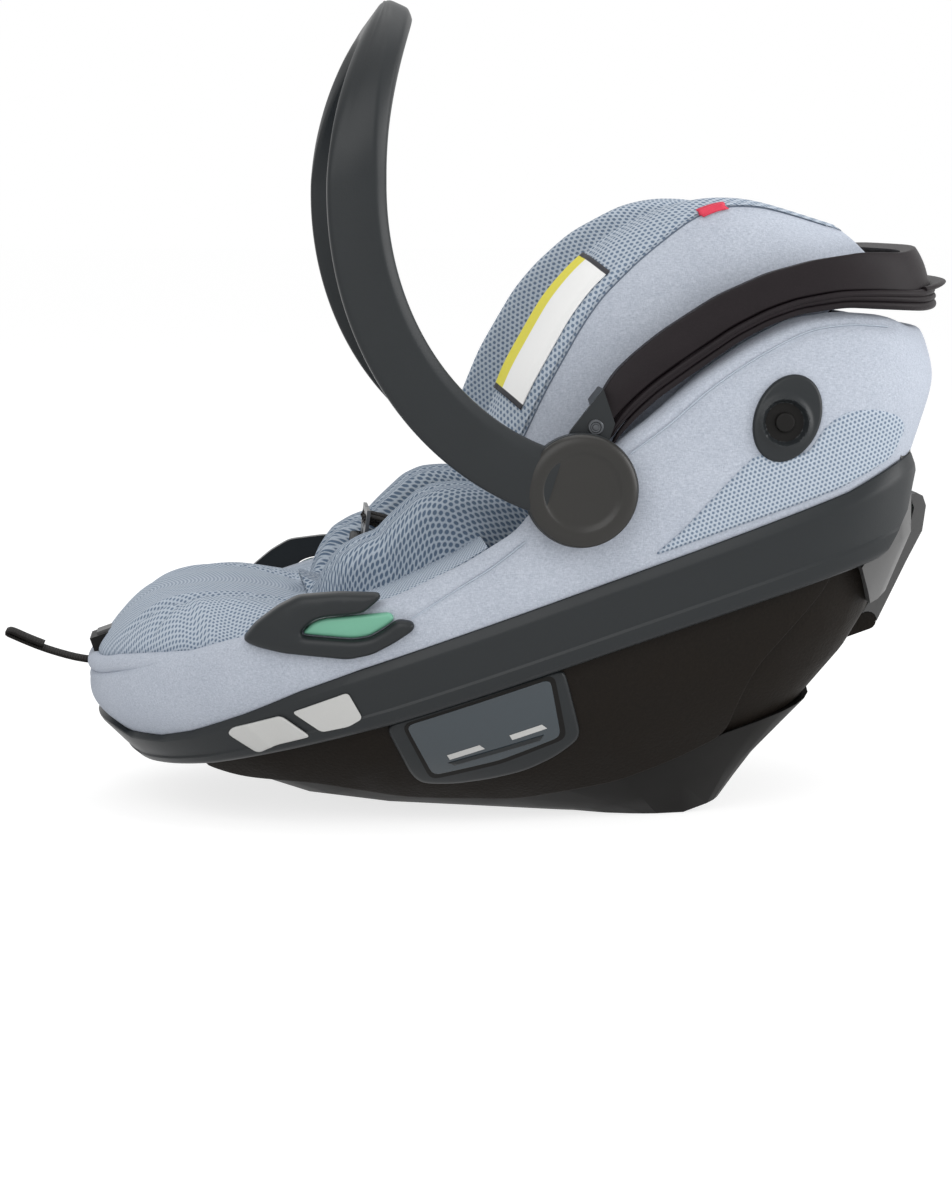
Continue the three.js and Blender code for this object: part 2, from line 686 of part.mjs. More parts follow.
// Path of the canopy from the left arm round the head end to the right arm
const oblong = (share) => (1 - share ** headPowerShare) ** (1 / headPowerShare);
const [, , , [, bowNoseShare]] = bodyShares;
const bowCentre = mix(bowNoseShare * shellLength, canopyBack, planCentreShare);
const bowPlace = (reach, side) => vec(bowCentre + (canopyBack - bowCentre) * reach, -canopySide * side, 0);
const bowHalf = [
  ...bowReachShares.map((share) => bowPlace(share, oblong(share))),
  ...bowSideShares.map((share) => bowPlace(oblong(share), share)),
];
const bowPath = [...bowHalf, bowPlace(1, 0), ...bowHalf.toReversed().map(({ x, y }) => vec(x, -y, 0))];
const bowStart = bowPath[0].x;
const bowOut = (i) => {
  const [before, after] = [bowPath[Math.max(i - 1, 0)], bowPath[Math.min(i + 1, bowPath.length - 1)]];
  const run = after.clone().sub(before).normalize();
  return vec(run.y, -run.x, 0);
};

// Band that follows the bow path, with a section in outward distance and height
function bowBand(from, to, sectionAt) {
  const rings = bowPath.slice(from, to).map((place, k) => {
    const out = bowOut(from + k);
    return sectionAt(place, from + k).map(([a, z]) => vec(place.x + out.x * a, place.y + out.y * a, z));
  });
  return loft(rings);
}
const bandCount = bowPath.length;
const fabric = bowBand(0, bandCount, (place) => {
  const [low, high] = [along(canopyLower, place.x), along(canopyUpper, place.x)];
  return [
    [-canopyThickness, low],
    ...foldShares.map(([out, up]) => [out * foldDepth, mix(low, high, up)]),
    [-canopyThickness, high],
  ];
});
piece('canopy_fabric', canopyCloth, fabric);
const bow = bowBand(0, bandCount, (place) => {
  const middle = (along(canopyLower, place.x) + along(canopyUpper, place.x)) / 2;
  const face = -canopyThickness - gap;
  const [low, high] = [middle - bowHeight / 2, middle + bowHeight / 2];
  return [[face - bowThickness, low], [face, low], [face, high], [face - bowThickness, high]];
});
piece('canopy_bow', blackPlastic, bow);
const visorStep = 6;
const visor = bowBand(visorStep, bandCount - visorStep, (place, i) => {
  const low = along(canopyLower, place.x);
  const middle = mix(low, along(canopyUpper, place.x), visorSeatShare);
  const share = Math.sin(Math.PI * (i - visorStep + 1) / (bandCount - 2 * visorStep + 1));
  const reach = foldDepth + visorDepth * share;
  return [
    [foldDepth / 2 + gap, middle - visorThickness / 2], [reach, middle + visorThickness],
    [reach, middle + visorThickness * 2], [foldDepth / 2 + gap, middle + visorThickness / 2],
  ];
});
piece('canopy_visor', canopyCloth, visor);

// Canopy arms: a plate on the hub with a block that reaches in to the end of the bow
for (const [name, side] of sides) {
  const plate = slab(outlineOf(armOutlineShares), -armFace, -hubBaseFace - gap);
  const ring = disc(armRingRadius, -armFace, -hubBaseFace - gap);
  const innerFace = canopySide - canopyThickness - bowThickness - gap;
  const block = slab(outlineOf(armOutlineShares), -armFace, -innerFace)
    .intersect(box(armBlockShare * shellLength, bowStart - gap, -armFace, -innerFace,
      along(rimLine, bowStart) + 2 * gap, shellDepth));
  const bore = disc(pinRadius + gap, -farSpan, -halfWidth / 2);
  piece(`canopy_arm_${name}`, darkPlastic, onSide(plate.add(ring).add(block).subtract(bore), side));
}

// The back of the seat slopes up from the corner of the pan; pieces on it are drawn along and off that slope
const [cornerHeightShare, , cornerBackShare] = panShares.at(-1);
const [, , [shoulderHeightShare, , shoulderBackShare]] = panShares;
const [[cornerX, cornerZ], [shoulderX, shoulderZ]] = outlineOf([
  [cornerBackShare, cornerHeightShare],
  [shoulderBackShare, shoulderHeightShare],
]);
const backAngle = Math.atan2(shoulderZ - cornerZ, shoulderX - cornerX);
const back = new THREE.Group();
back.position.set(cornerX, 0, cornerZ);
back.rotation.y = -backAngle;
seat.add(back);

function backPiece(name, material, shape) {
  const part = piece(name, material, shape);
  back.add(part);
  return part;
}

// Moves a solid from the slope's frame to the seat's frame, and the other way
function toSeat(solid) {
  back.updateMatrix();
  return solid.transform(back.matrix.toArray());
}
function toBack(solid) {
  back.updateMatrix();
  return solid.transform(back.matrix.clone().invert().toArray());
}

// Places along the slope from the corner: back pad with its strap slots, headrest, and the pads on the straps
const backPadShares = [0.223, 0.323, 0.454];
const headrestShares = [0.11, 0.42, 0.179];
const headPadShares = [0.257, 0.28, 0.4];
const shoulderPadShares = [0.279, 0.154];
const ofLength = (shares) => shares.map((share) => share * shellLength);
const [strapSlotFrom, strapSlotTo, backPadEnd] = ofLength(backPadShares);
const [headrestStart, headrestLength, plateFrom] = ofLength(headrestShares);
const [headPadFrom, headInlayFrom, headInlayTo] = ofLength(headPadShares);
const [shoulderPadFrom, shoulderPadTo] = ofLength(shoulderPadShares);

// Half widths of the pieces on the slope and in its bend
const wingSideShares = [0.81, 0.61];
const padSideShares = [0.773, 0.66, 0.474, 0.593];
const ofSide = (shares) => shares.map((share) => share * halfWidth);
const [wingOuter, wingInner] = ofSide(wingSideShares);
const [backPadHalf, plateHalf, headInlayHalf, inlayHalf] = ofSide(padSideShares);

// Room for the pads: the bucket, and everything above the rim
const bucketRoom = bucket(-gap);
const padRoom = bucketRoom.add(band(-shellDepth, shellDepth).subtract(belowRim(-gap)));

// Solid under a height field over a rectangle
function heightSolid(x0, x1, side, steps, topAt, bottom) {
  const [nx, ny] = steps;
  const rings = Array.from({ length: nx + 1 }, (_, i) => {
    const x = mix(x0, x1, i / nx);
    const top = Array.from({ length: ny + 1 }, (_, j) => {
      const y = mix(-side, side, j / ny);
      return vec(x, y, topAt(x, y));
    });
    return [vec(x, -side, bottom), ...top, vec(x, side, bottom)];
  });
  return loft(rings);
}
const smooth = (t) => {
  const c = Math.min(1, Math.max(0, t));
  return c * c * (3 - 2 * c);
};

// Seat cushion: crowned roll over the nose, thigh slope, and bolsters up to the rim
const cushionLineShares = [
  [-0.6, -0.04], [-0.55, -0.02], [-0.516, 0.01], [-0.476, 0.03], [-0.429, 0.02], [-0.384, -0.014],
  [-0.331, -0.085], [-0.271, -0.205], [-0.214, -0.31], [-0.171, -0.348], [-0.1, -0.352],
];
const cushionLine = outlineOf(cushionLineShares);
const cushionFromShare = -0.6;
const cushionEndShare = -0.1;
const padFloorShare = -0.6;
const bolsterFromShare = 0.58;
const bolsterWidthShare = 0.24;
const bolsterDrop = 9;
const channelDepth = 5;
const channelPitch = 62;
const channelWidth = 9;
function cushionTop(x, y, grow = 0) {
  const line = along(cushionLine, x);
  const rim = along(rimLine, x) - bolsterDrop;
  const lift = smooth((Math.abs(y) / halfWidth - bolsterFromShare) / bolsterWidthShare);
  const groove = Math.max(0, 1 - Math.abs(Math.abs(y) - channelPitch) / channelWidth);
  return mix(line, rim, lift) - channelDepth * groove + grow;
}
const noseRowShares = [
  [-0.6, -0.52, 0.9], [-0.128, -0.566, 0.905], [-0.1, -0.577, 0.93], [-0.05, -0.574, 0.92],
  [0.0, -0.56, 0.89], [0.03, -0.52, 0.8], [0.06, -0.48, 0.7],
];
function cushionPlan() {
  return loft(noseRowShares.map(([z, front, side]) => planRing(
    front * shellLength,
    0,
    side * halfWidth - gap,
    z * shellDepth,
    nosePowerShare,
    nosePowerShare * 4,
  )));
}
const cushionFrom = cushionFromShare * shellLength;
const cushionTo = cushionEndShare * shellLength;
const cushionSteps = [26, 22];
function cushionForm(grow) {
  return heightSolid(cushionFrom, cushionTo + grow, halfWidth, cushionSteps, (x, y) => cushionTop(x, y, grow),
    padFloorShare * shellDepth);
}
const backPadDepth = 24;
const seatUnderBack = toSeat(box(-overrun, backPadEnd * 2, -farSpan, farSpan, -overrun * 3,
  backPadDepth + gap));

// Back pad: lies in the pan, with a long slot for each shoulder strap
const strapWidth = 25;
const strapThickness = 2;
const strapPitch = 38;
const strapPlay = 1;
const strapHole = (from, to) => union([-1, 1].map((side) => box(
  from,
  to,
  side * strapPitch - strapWidth / 2 - strapPlay,
  side * strapPitch + strapWidth / 2 + strapPlay,
  -overrun,
  overrun,
)));
const backForm = box(0, backPadEnd, -backPadHalf, backPadHalf, -overrun, backPadDepth);
backPiece('back_pad', mesh, backForm.subtract(strapHole(strapSlotFrom, strapSlotTo))
  .intersect(toBack(bucketRoom)));

// Hip inlay: a low seat with a rounded bolster on each side, in the bend of the seat
const inlayTopShares = [
  [-0.303, -0.26], [-0.29, -0.08], [-0.264, -0.01], [-0.24, 0.04], [-0.209, 0.083], [-0.171, 0.083],
  [-0.139, 0.05], [-0.086, -0.03], [-0.029, -0.075], [0.029, -0.11], [0.054, -0.2],
];
const inlayTop = outlineOf(inlayTopShares);
const inlayDepth = 18;
const inlayChannel = 46;
const inlayRise = 30;
const inlayEdge = 14;
const inlaySteps = [24, 18];
const backLine = (x) => cornerZ + (x - cornerX) * Math.tan(backAngle) + backPadDepth / Math.cos(backAngle);
const crotchShare = -0.2629;
const crotchX = crotchShare * shellLength;
const crotchWidth = 66;
const crotchLength = 30;
const adjusterShares = [-0.5686, -0.5314];
const [adjusterBack, adjusterEnd] = ofLength(adjusterShares);
const adjusterNotchPlay = 2;
const adjusterNotchHalf = 22;
const crotchSlot = box(crotchX - crotchLength / 2, crotchX + crotchLength / 2,
  -crotchWidth / 2, crotchWidth / 2, -shellDepth, shellDepth);
function inlaySurface(x, y) {
  const base = Math.max(along(cushionLine, x), backLine(x)) + inlayDepth;
  const top = Math.max(along(inlayTop, x), base - inlayDepth);
  const lift = smooth((Math.abs(y) - inlayChannel) / inlayRise);
  const intoEdge = Math.max(0, Math.abs(y) - inlayHalf + inlayEdge) / inlayEdge;
  const round = Math.sqrt(Math.max(0, 1 - intoEdge ** 2));
  return mix(base, top, lift) - inlayEdge * (1 - round);
}
const adjusterNotch = box(-shellLength, adjusterEnd + adjusterNotchPlay,
  -adjusterNotchHalf, adjusterNotchHalf, -shellDepth, shellDepth);
const cushion = cushionForm(0).intersect(cushionPlan()).intersect(padRoom).subtract(seatUnderBack)
  .subtract(crotchSlot).subtract(adjusterNotch);
piece('seat_cushion', mesh, cushion);
const [[inlayFrom], [inlayTo]] = [inlayTop[0], inlayTop.at(-1)];
const inlay = heightSolid(inlayFrom, inlayTo, inlayHalf, inlaySteps, inlaySurface, padFloorShare * shellDepth)
  .subtract(cushionForm(gap)).subtract(seatUnderBack).subtract(crotchSlot).intersect(padRoom);
piece('hip_inlay', mesh, inlay);

// Headrest: a plate that slides on the back pad, two tall wings, a pad and a head inlay
const wingHeight = 222;
const wingRound = 14;
const plateThickness = 3.7;
const headPadDepth = 22;
const headPadSteps = [6, 10];
const headInlaySteps = [8, 10];
const headInlayDepth = 18;
const plateTop = backPadDepth + gap + plateThickness;
const plateSlot = 20;
const headPadCrownShare = 0.25;
const headInlayRimShare = 0.2;
const headInlayDentShare = 0.4;
// Each row: place along the slope, top and bottom height shares, outer side share
const wingShares = [
  [0, 0.865, 0.414, 1], [0.157, 0.95, 0.29, 1], [0.354, 1, 0.16, 1], [0.585, 0.96, 0, 1],
  [0.738, 0.851, 0, 1], [0.9, 0.61, 0, 0.94], [0.975, 0.36, 0, 0.855], [1, 0.27, 0, 0.815],
];
const wingArcAngles = [0, 36, 72, 108, 144, 180];
function wing() {
  return loft(wingShares.map(([run, top, bottom, side]) => {
    const outer = wingOuter * side;
    const middle = (outer + wingInner * side) / 2;
    const half = outer - middle;
    const high = top * wingHeight;
    const low = Math.max(bottom * wingHeight, plateTop + gap);
    const arc = wingArcAngles.map((angle) => [
      middle + half * Math.cos(rad(angle)),
      high - wingRound + wingRound * Math.sin(rad(angle)),
    ]);
    const ring = [
      [outer - wingRound / 2, low],
      [outer, low + wingRound / 2],
      ...arc,
      [middle - half, low + wingRound / 2],
      [middle - half + wingRound / 2, low],
    ];
    return ring.map(([y, z]) => vec(headrestStart + run * headrestLength, -y, z));
  }));
}
const headrestEnd = headrestStart + headrestLength;
const plateStart = headrestStart + plateFrom;
const headrestTravel = 26;
const travelSteps = 4;
const slideRoom = Array.from({ length: travelSteps + 1 }, (_, i) => (
  toBack(padRoom).translate([-headrestTravel * (i / travelSteps), 0, 0])
)).reduce((room, next) => room.intersect(next));
backPiece('headrest_plate', darkPlastic,
  box(plateStart, headrestEnd, -plateHalf, plateHalf, backPadDepth + gap, plateTop)
    .intersect(slideRoom)
    .subtract(strapHole(plateStart - overrun, plateStart + plateSlot)));
const wingSolid = wing().intersect(slideRoom);
for (const [name, side] of sides) backPiece(`headrest_wing_${name}`, cloth, onSide(wingSolid, side));
const [, , , wingEndShare] = wingShares.at(-1);
const headPadHalf = wingInner * wingEndShare - gap;
const headPad = heightSolid(headrestStart + headPadFrom, headrestEnd, headPadHalf, headPadSteps, (x, y) => (
  plateTop + headPadDepth * (1 - headPadCrownShare * (y / headPadHalf) ** 4)
), plateTop + gap);
backPiece('headrest_pad', mesh, headPad);
const [inlayStart, inlayStop] = [headrestStart + headInlayFrom, headrestStart + headInlayTo];
const headInlay = heightSolid(inlayStart, inlayStop, headInlayHalf, headInlaySteps,
  (x, y) => {
    const run = (x - inlayStart) / (inlayStop - inlayStart) * 2 - 1;
    const edge = Math.sqrt(Math.max(0, (1 - run ** 4) * (1 - (y / headInlayHalf) ** 4)));
    const dent = headInlayDentShare * Math.max(0, 1 - (y / headInlayHalf * 2) ** 2 - run ** 2);
    const rise = headInlayRimShare + (1 - headInlayRimShare) * edge - dent;
    return plateTop + headPadDepth + gap + headInlayDepth * rise;
  }, plateTop + headPadDepth + gap);
backPiece('head_inlay', mesh, headInlay);

// Buckle on its crotch strap: two steel tongues side by side and a red button on the front
const buckleWidth = 64;
const buckleLength = 50;
const buckleThickness = 20;
const buckleLeanAngle = 26;
const buckleLift = 66;
const buckleButtonWidth = 28;
const buckleButtonLength = 20;
const buckleButtonDepth = 9;
const buckleButtonProud = 2;
const buckleButtonTravel = 3;
const tonguePitch = 16.3;
const tongueWidth = 24;
const tongueLength = 36;
const tongueThickness = 3;
const tongueSink = 12;
const tongueBar = 5;
const tongueBarWidth = 32;
const tongueEye = 8;
const panFloor = panShares.slice(2).map(([z, front]) => [front * shellLength, z * shellDepth])
  .toSorted((a, b) => a[0] - b[0]);
const crotchFoot = along(panFloor, crotchX);
const buckle = new THREE.Group();
buckle.position.set(crotchX, 0, crotchFoot + buckleLift);
buckle.rotation.y = rad(buckleLeanAngle);
seat.add(buckle);
const bucklePiece = (name, material, shape) => buckle.add(piece(name, material, shape));
const tongueBlade = (grow, sink) => box(
  -tongueThickness / 2 - grow,
  tongueThickness / 2 + grow,
  -tonguePitch - tongueWidth / 2 - grow,
  -tonguePitch + tongueWidth / 2 + grow,
  buckleLength - sink,
  buckleLength + tongueLength - tongueSink,
);
const buttonBlock = (grow, from, to) => box(
  from,
  to,
  -buckleButtonWidth / 2 - grow,
  buckleButtonWidth / 2 + grow,
  buckleLength / 2 - buckleButtonLength - grow,
  buckleLength / 2 + grow,
);
const buckleFront = -buckleThickness / 2;
const buckleSlots = sides.map(([, side]) => onSide(tongueBlade(gap, tongueSink + gap), side));
const buckleCase = box(buckleFront, -buckleFront, -buckleWidth / 2, buckleWidth / 2, 0, buckleLength);
const buttonFloor = buckleFront + buckleButtonDepth;
bucklePiece('buckle_body', blackPlastic, buckleCase.subtract(union(buckleSlots))
  .subtract(buttonBlock(gap, buckleFront - overrun, buttonFloor)));
bucklePiece('buckle_button', redPlastic,
  buttonBlock(0, buckleFront - buckleButtonProud, buttonFloor - buckleButtonTravel - gap));
const tongueTop = buckleLength + tongueLength - tongueSink;
for (const [name, side] of sides) {
  const bar = box(
    -tongueThickness / 2,
    tongueThickness / 2,
    -tonguePitch - tongueBarWidth / 2 + gap,
    -tonguePitch + tongueBarWidth / 2 - gap,
    tongueTop - tongueEye - 2 * tongueBar,
    tongueTop,
  );
  const eye = box(
    -overrun,
    overrun,
    -tonguePitch - strapWidth / 2 - gap,
    -tonguePitch + strapWidth / 2 + gap,
    tongueTop - tongueEye - tongueBar,
    tongueTop - tongueBar,
  );
  const tongue = tongueBlade(0, tongueSink).add(bar).subtract(eye);
  bucklePiece(`buckle_tongue_${name}`, steel, onSide(tongue, side));
}

const strapSteps = 14;

// Flat band along a line of places, its width held level across the seat
function strapAlong(line, width = strapWidth, thickness = strapThickness) {
  const path = new THREE.CatmullRomCurve3(line).getSpacedPoints(strapSteps);
  return loft(path.map((place, i) => {
    const run = path[Math.min(i + 1, strapSteps)].clone().sub(path[Math.max(i - 1, 0)]).normalize();
    const off = vec(0, 1, 0).cross(run).normalize().multiplyScalar(thickness / 2);
    return [[-1, -1], [1, -1], [1, 1], [-1, 1]].map(([across, up]) => (
      place.clone().add(vec(0, across * width / 2, 0)).addScaledVector(off, up)
    ));
  }));
}
piece('crotch_strap', webbing, strapAlong([
  vec(crotchX, 0, crotchFoot + strapThickness / 2),
  vec(crotchX, 0, crotchFoot + buckleLift / 2),
  vec(crotchX, 0, crotchFoot + buckleLift + buckleFront * Math.sin(rad(buckleLeanAngle)) - 2 * gap),
]));

// Shoulder straps: out of the headrest plate, down the back pad and across to the tongues.
// Each row: place along the slope, height off it, side place.
const strapRunShares = [0.3114, 0.3114, 0.2914, 0.2143, 0.1643, 0.1143, 0.0643, 0.0114];
const strapRunPlaces = [[10, 38], [30, 38], [36, 38], [35, 37], [45, 36], [50, 33], [58, 28], [82, 22]];
const strapRun = ofLength(strapRunShares).map((run, i) => [run, ...strapRunPlaces[i]]);
const shoulderPadWidth = 44;
const shoulderPadThickness = 12;
const hipStrapShares = [[-0.1743, -0.1103], [-0.1514, -0.2069], [-0.1357, -0.2793]];
const hipStrapSides = [24, 27, 29];
const hipStrapRun = outlineOf(hipStrapShares).map(([x, z], i) => [x, hipStrapSides[i], z]);
const eyeHeight = tongueTop - tongueBar - tongueEye / 2;
const strapStep = tongueEye / 4;
back.updateMatrix();
buckle.updateMatrix();
const onBack = (run, off, y) => vec(run, y, off).applyMatrix4(back.matrix);
const onBuckle = (off, y, up) => vec(off, y, up).applyMatrix4(buckle.matrix);
for (const [name, side] of sides) {
  const shoulder = strapAlong([
    ...strapRun.map(([run, off, y]) => onBack(run, off, side * y)),
    onBuckle(tongueEye, side * tonguePitch, eyeHeight + strapStep),
    onBuckle(-strapStep, side * tonguePitch, eyeHeight + strapStep),
  ]);
  piece(`shoulder_strap_${name}`, webbing, shoulder);
  const padRun = [shoulderPadFrom, (shoulderPadFrom + shoulderPadTo) / 2, shoulderPadTo].map((run) => {
    const off = along(strapRun.map(([from, height]) => [-from, height]), -run);
    return onBack(run, off, side * along(strapRun.map(([from, , y]) => [-from, y]), -run));
  });
  const pad = strapAlong(padRun, shoulderPadWidth, shoulderPadThickness);
  const tunnel = strapAlong(
    strapRun.slice(1).map(([run, off, y]) => onBack(run, off, side * y)),
    strapWidth + 2 * strapPlay,
    strapThickness + 2 * strapPlay,
  );
  piece(`shoulder_pad_${name}`, mesh, pad.subtract(tunnel));
  piece(`hip_strap_${name}`, webbing, strapAlong([
    onBuckle(-strapStep, side * tonguePitch, eyeHeight - strapStep),
    onBuckle(tongueEye, side * tonguePitch, eyeHeight - tongueEye / 2),
    ...hipStrapRun.map(([x, y, z]) => vec(x, side * y, z)),
  ]));
}

// Harness adjuster on the nose: a housing with a button on top, and the pull strap with its folded end
const adjusterHighShare = -0.0241;
const adjusterLowShare = -0.1241;
const adjusterHigh = adjusterHighShare * shellDepth;
const adjusterLow = adjusterLowShare * shellDepth;
const adjusterHalf = 20;
const adjusterButtonHalf = 12;
const adjusterButtonInset = 6;
const adjusterButtonDepth = 8;
const adjusterButtonProud = 2;
const adjusterButtonTravel = 3;
const pullStrapShares = [
  [-0.5486, -0.0931], [-0.5714, -0.0931], [-0.5886, -0.0759], [-0.61, -0.0414], [-0.6314, 0],
  [-0.6543, 0.0517],
];
const pullStrapRun = outlineOf(pullStrapShares);
const [[, pullStrapHeight]] = pullStrapRun;
const pullLoop = 9;
const adjusterCase = box(adjusterBack, adjusterEnd, -adjusterHalf, adjusterHalf, adjusterLow, adjusterHigh);
const adjusterButtonBlock = (grow, from, to) => box(
  adjusterBack + adjusterButtonInset - grow,
  adjusterEnd - adjusterButtonInset + grow,
  -adjusterButtonHalf - grow,
  adjusterButtonHalf + grow,
  from,
  to,
);
const pullSlot = box(adjusterBack - overrun, adjusterEnd - adjusterButtonInset, -strapWidth / 2 - gap,
  strapWidth / 2 + gap, pullStrapHeight - strapThickness, pullStrapHeight + strapThickness);
piece('adjuster_body', blackPlastic, adjusterCase.subtract(pullSlot)
  .subtract(adjusterButtonBlock(gap, adjusterHigh - adjusterButtonDepth, adjusterHigh + overrun))
  .subtract(belowRim(-gap)));
piece('adjuster_button', greyPlastic, adjusterButtonBlock(0,
  adjusterHigh - adjusterButtonDepth + adjusterButtonTravel + gap, adjusterHigh + adjusterButtonProud));
const pullLine = pullStrapRun.map(([x, z]) => vec(x, 0, z));
const pullEnd = pullLine.at(-1);
const pullWay = pullEnd.clone().sub(pullLine.at(-2)).normalize();
const loopLift = vec(-pullWay.z, 0, pullWay.x).multiplyScalar(pullLoop / 4);
const fold = strapAlong([
  pullEnd.clone().addScaledVector(pullWay, -pullLoop * 2).addScaledVector(loopLift, -1),
  pullEnd.clone().addScaledVector(pullWay, -pullLoop).addScaledVector(loopLift, -1),
  pullEnd.clone().addScaledVector(pullWay, pullLoop / 2),
], strapWidth);
piece('adjuster_strap', webbing, strapAlong(pullLine).add(fold));

// Rear release: a sprung paddle behind the rear frame, on the pin between the lugs of the shell
const releaseOuterShares = [[0.384, -0.39], [0.39, -0.405], [0.39, -0.434], [0.377, -0.497], [0.349, -0.562]];
const releaseInnerShares = [[0.338, -0.54], [0.363, -0.48], [0.376, -0.428], [0.376, -0.392]];
const releaseInsertHalf = 44;
const releaseInsertThickness = 2.5;
const paddleRootAngle = 37;
const [pivotX, pivotZ] = releasePivot;
const paddleRootX = releaseKnuckle * Math.cos(rad(paddleRootAngle));
const paddleRootZ = releaseKnuckle * Math.sin(rad(paddleRootAngle));
const paddleSide = slab([
  ...outlineOf(releaseOuterShares),
  [pivotX + paddleRootX, pivotZ - paddleRootZ],
  [pivotX - paddleRootZ, pivotZ + paddleRootX],
  ...outlineOf(releaseInnerShares),
], -releaseHalf, releaseHalf);
const knuckleEnd = releaseHalf - releaseLugWidth - gap;
const knuckle = disc(releaseKnuckle, -knuckleEnd, knuckleEnd, ...releasePivot);
const lugRoom = sides.map(([, side]) => onSide(
  disc(releaseKnuckle + 2 * gap, -releaseHalf - overrun, -knuckleEnd, ...releasePivot),
  side,
));
const paddle = paddleSide.subtract(union(lugRoom)).add(knuckle)
  .subtract(disc(releasePinRadius + gap, -farSpan, farSpan, ...releasePivot));
piece('rear_release', greyPlastic, paddle);
const insertBack = outlineOf(releaseInnerShares.slice(1)).map(([x, z]) => [x - 2 * gap, z]);
const insertFront = insertBack.map(([x, z]) => [x - releaseInsertThickness, z]).toReversed();
piece('release_insert', greenPlastic,
  slab([...insertBack, ...insertFront], -releaseInsertHalf, releaseInsertHalf));

// The seat stands reclined on its foot
seat.rotation.y = -rad(reclineAngle);
seat.position.z = hubHeight;

// The origin lies on the ground under the middle of the whole
seat.updateMatrixWorld(true);
seat.position.x = -new THREE.Box3().setFromObject(seat, true).getCenter(new THREE.Vector3()).x;

export default seat;
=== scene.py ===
# %% [markdown]
# An infant carrier is a moulded shell that a cloth cover, mesh pads, a headrest and a folded canopy dress.
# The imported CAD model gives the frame: its sizes, its bodies and its joints. This lesson builds the looks
# over it, one piece at a time. Rigid nodes can keep their own mesh and get a better material, while cloth
# and long curved shells are drawn again as smooth surfaces, because their CAD solids are plain.

# %% Frame
import json
import math

import bpy
import numpy as np
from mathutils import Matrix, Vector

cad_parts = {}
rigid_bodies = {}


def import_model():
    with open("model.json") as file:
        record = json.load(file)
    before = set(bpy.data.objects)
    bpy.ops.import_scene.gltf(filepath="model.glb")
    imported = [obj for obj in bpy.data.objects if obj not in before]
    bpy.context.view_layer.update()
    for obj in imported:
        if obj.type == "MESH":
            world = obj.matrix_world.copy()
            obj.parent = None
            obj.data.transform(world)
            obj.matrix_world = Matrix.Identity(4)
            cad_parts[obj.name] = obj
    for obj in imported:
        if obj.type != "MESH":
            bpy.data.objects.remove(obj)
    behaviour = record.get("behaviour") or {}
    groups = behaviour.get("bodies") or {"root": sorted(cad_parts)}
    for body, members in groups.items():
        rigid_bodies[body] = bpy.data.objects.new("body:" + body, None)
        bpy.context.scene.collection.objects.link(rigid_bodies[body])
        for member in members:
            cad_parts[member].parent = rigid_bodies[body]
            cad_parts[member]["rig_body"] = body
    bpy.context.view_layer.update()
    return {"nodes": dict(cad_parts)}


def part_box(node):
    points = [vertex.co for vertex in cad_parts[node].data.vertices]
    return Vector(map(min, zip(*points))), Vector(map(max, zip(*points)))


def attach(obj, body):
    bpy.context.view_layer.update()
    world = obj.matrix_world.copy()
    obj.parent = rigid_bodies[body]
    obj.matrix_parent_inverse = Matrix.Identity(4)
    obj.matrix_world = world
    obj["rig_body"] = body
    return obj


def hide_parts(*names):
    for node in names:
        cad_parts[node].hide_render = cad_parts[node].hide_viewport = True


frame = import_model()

nodes = frame["nodes"]

# %% [markdown]
# The carrier is easiest to draw in its own frame: millimetres, handle axle at the origin, +X to the head
# end, +Z up from the rails. The real one stands reclined, so one turn and one shift bring every point to
# the model's frame. The axle's place is read from the CAD node, so nothing has to be fitted by eye.

# %% Seat frame
RECLINE = math.radians(19)
LENGTH, DEPTH, HALF = 700.0, 290.0, 194.0
SIDES = ((-1, "left"), (1, "right"))
low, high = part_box("hub_pin_left")
AXLE = np.array([(low.x + high.x) / 2, 0, (low.z + high.z) / 2])
TURN = np.array([[math.cos(RECLINE), 0, -math.sin(RECLINE)],
                 [0, 1, 0],
                 [math.sin(RECLINE), 0, math.cos(RECLINE)]])


def to_model(points):
    """Seat places in mm to model places in m: turned by the recline, then moved to the axle."""
    return np.asarray(points, float) @ TURN.T / 1000 + AXLE


print("axle at", AXLE.round(4))

# %% [markdown]
# A camera with the photograph's lens comes first. Its place and slope were worked out from the lines that
# run across the carrier. The frame is 952 by 1200 pixels, the focal length is given in the same pixels,
# and the eye in millimetres from the axle.

# %% Camera
FOCAL, FRAME_HEIGHT = 2750, 1200
EYE = np.array([-255.1, -2228.2, 208.6])
DIP, SWING = math.radians(8.143), math.radians(-5.008)
lens = bpy.data.cameras.new("camera")
lens.sensor_fit = "VERTICAL"
lens.sensor_height = 36
lens.lens = FOCAL * lens.sensor_height / FRAME_HEIGHT
camera = bpy.data.objects.new("camera", lens)
bpy.context.scene.collection.objects.link(camera)
camera.location = AXLE + EYE / 1000
camera.rotation_euler = (math.pi / 2 - DIP, 0, SWING)
bpy.context.scene.camera = camera
print("camera at", [round(v, 3) for v in camera.location])

# %% [markdown]
# Most pieces are sheets over a grid: one function gives a point for each pair of numbers, and the grid's
# quads follow from index sums. A grid can close on itself both ways, and its open ends are closed by a fan
# round the middle of the end ring, so that every piece is a closed body.

# %% Grids to meshes
def grid_faces(rows, columns, wrap_rows, wrap_columns):
    """Quads of a rows by columns grid; a wrapped direction joins its last line to its first."""
    i, j = np.meshgrid(np.arange(rows if wrap_rows else rows - 1),
                       np.arange(columns if wrap_columns else columns - 1), indexing="ij")
    a = i * columns + j
    b = i * columns + (j + 1) % columns
    c = ((i + 1) % rows) * columns + (j + 1) % columns
    d = ((i + 1) % rows) * columns + j
    return np.stack([a, b, c, d], -1).reshape(-1, 4)


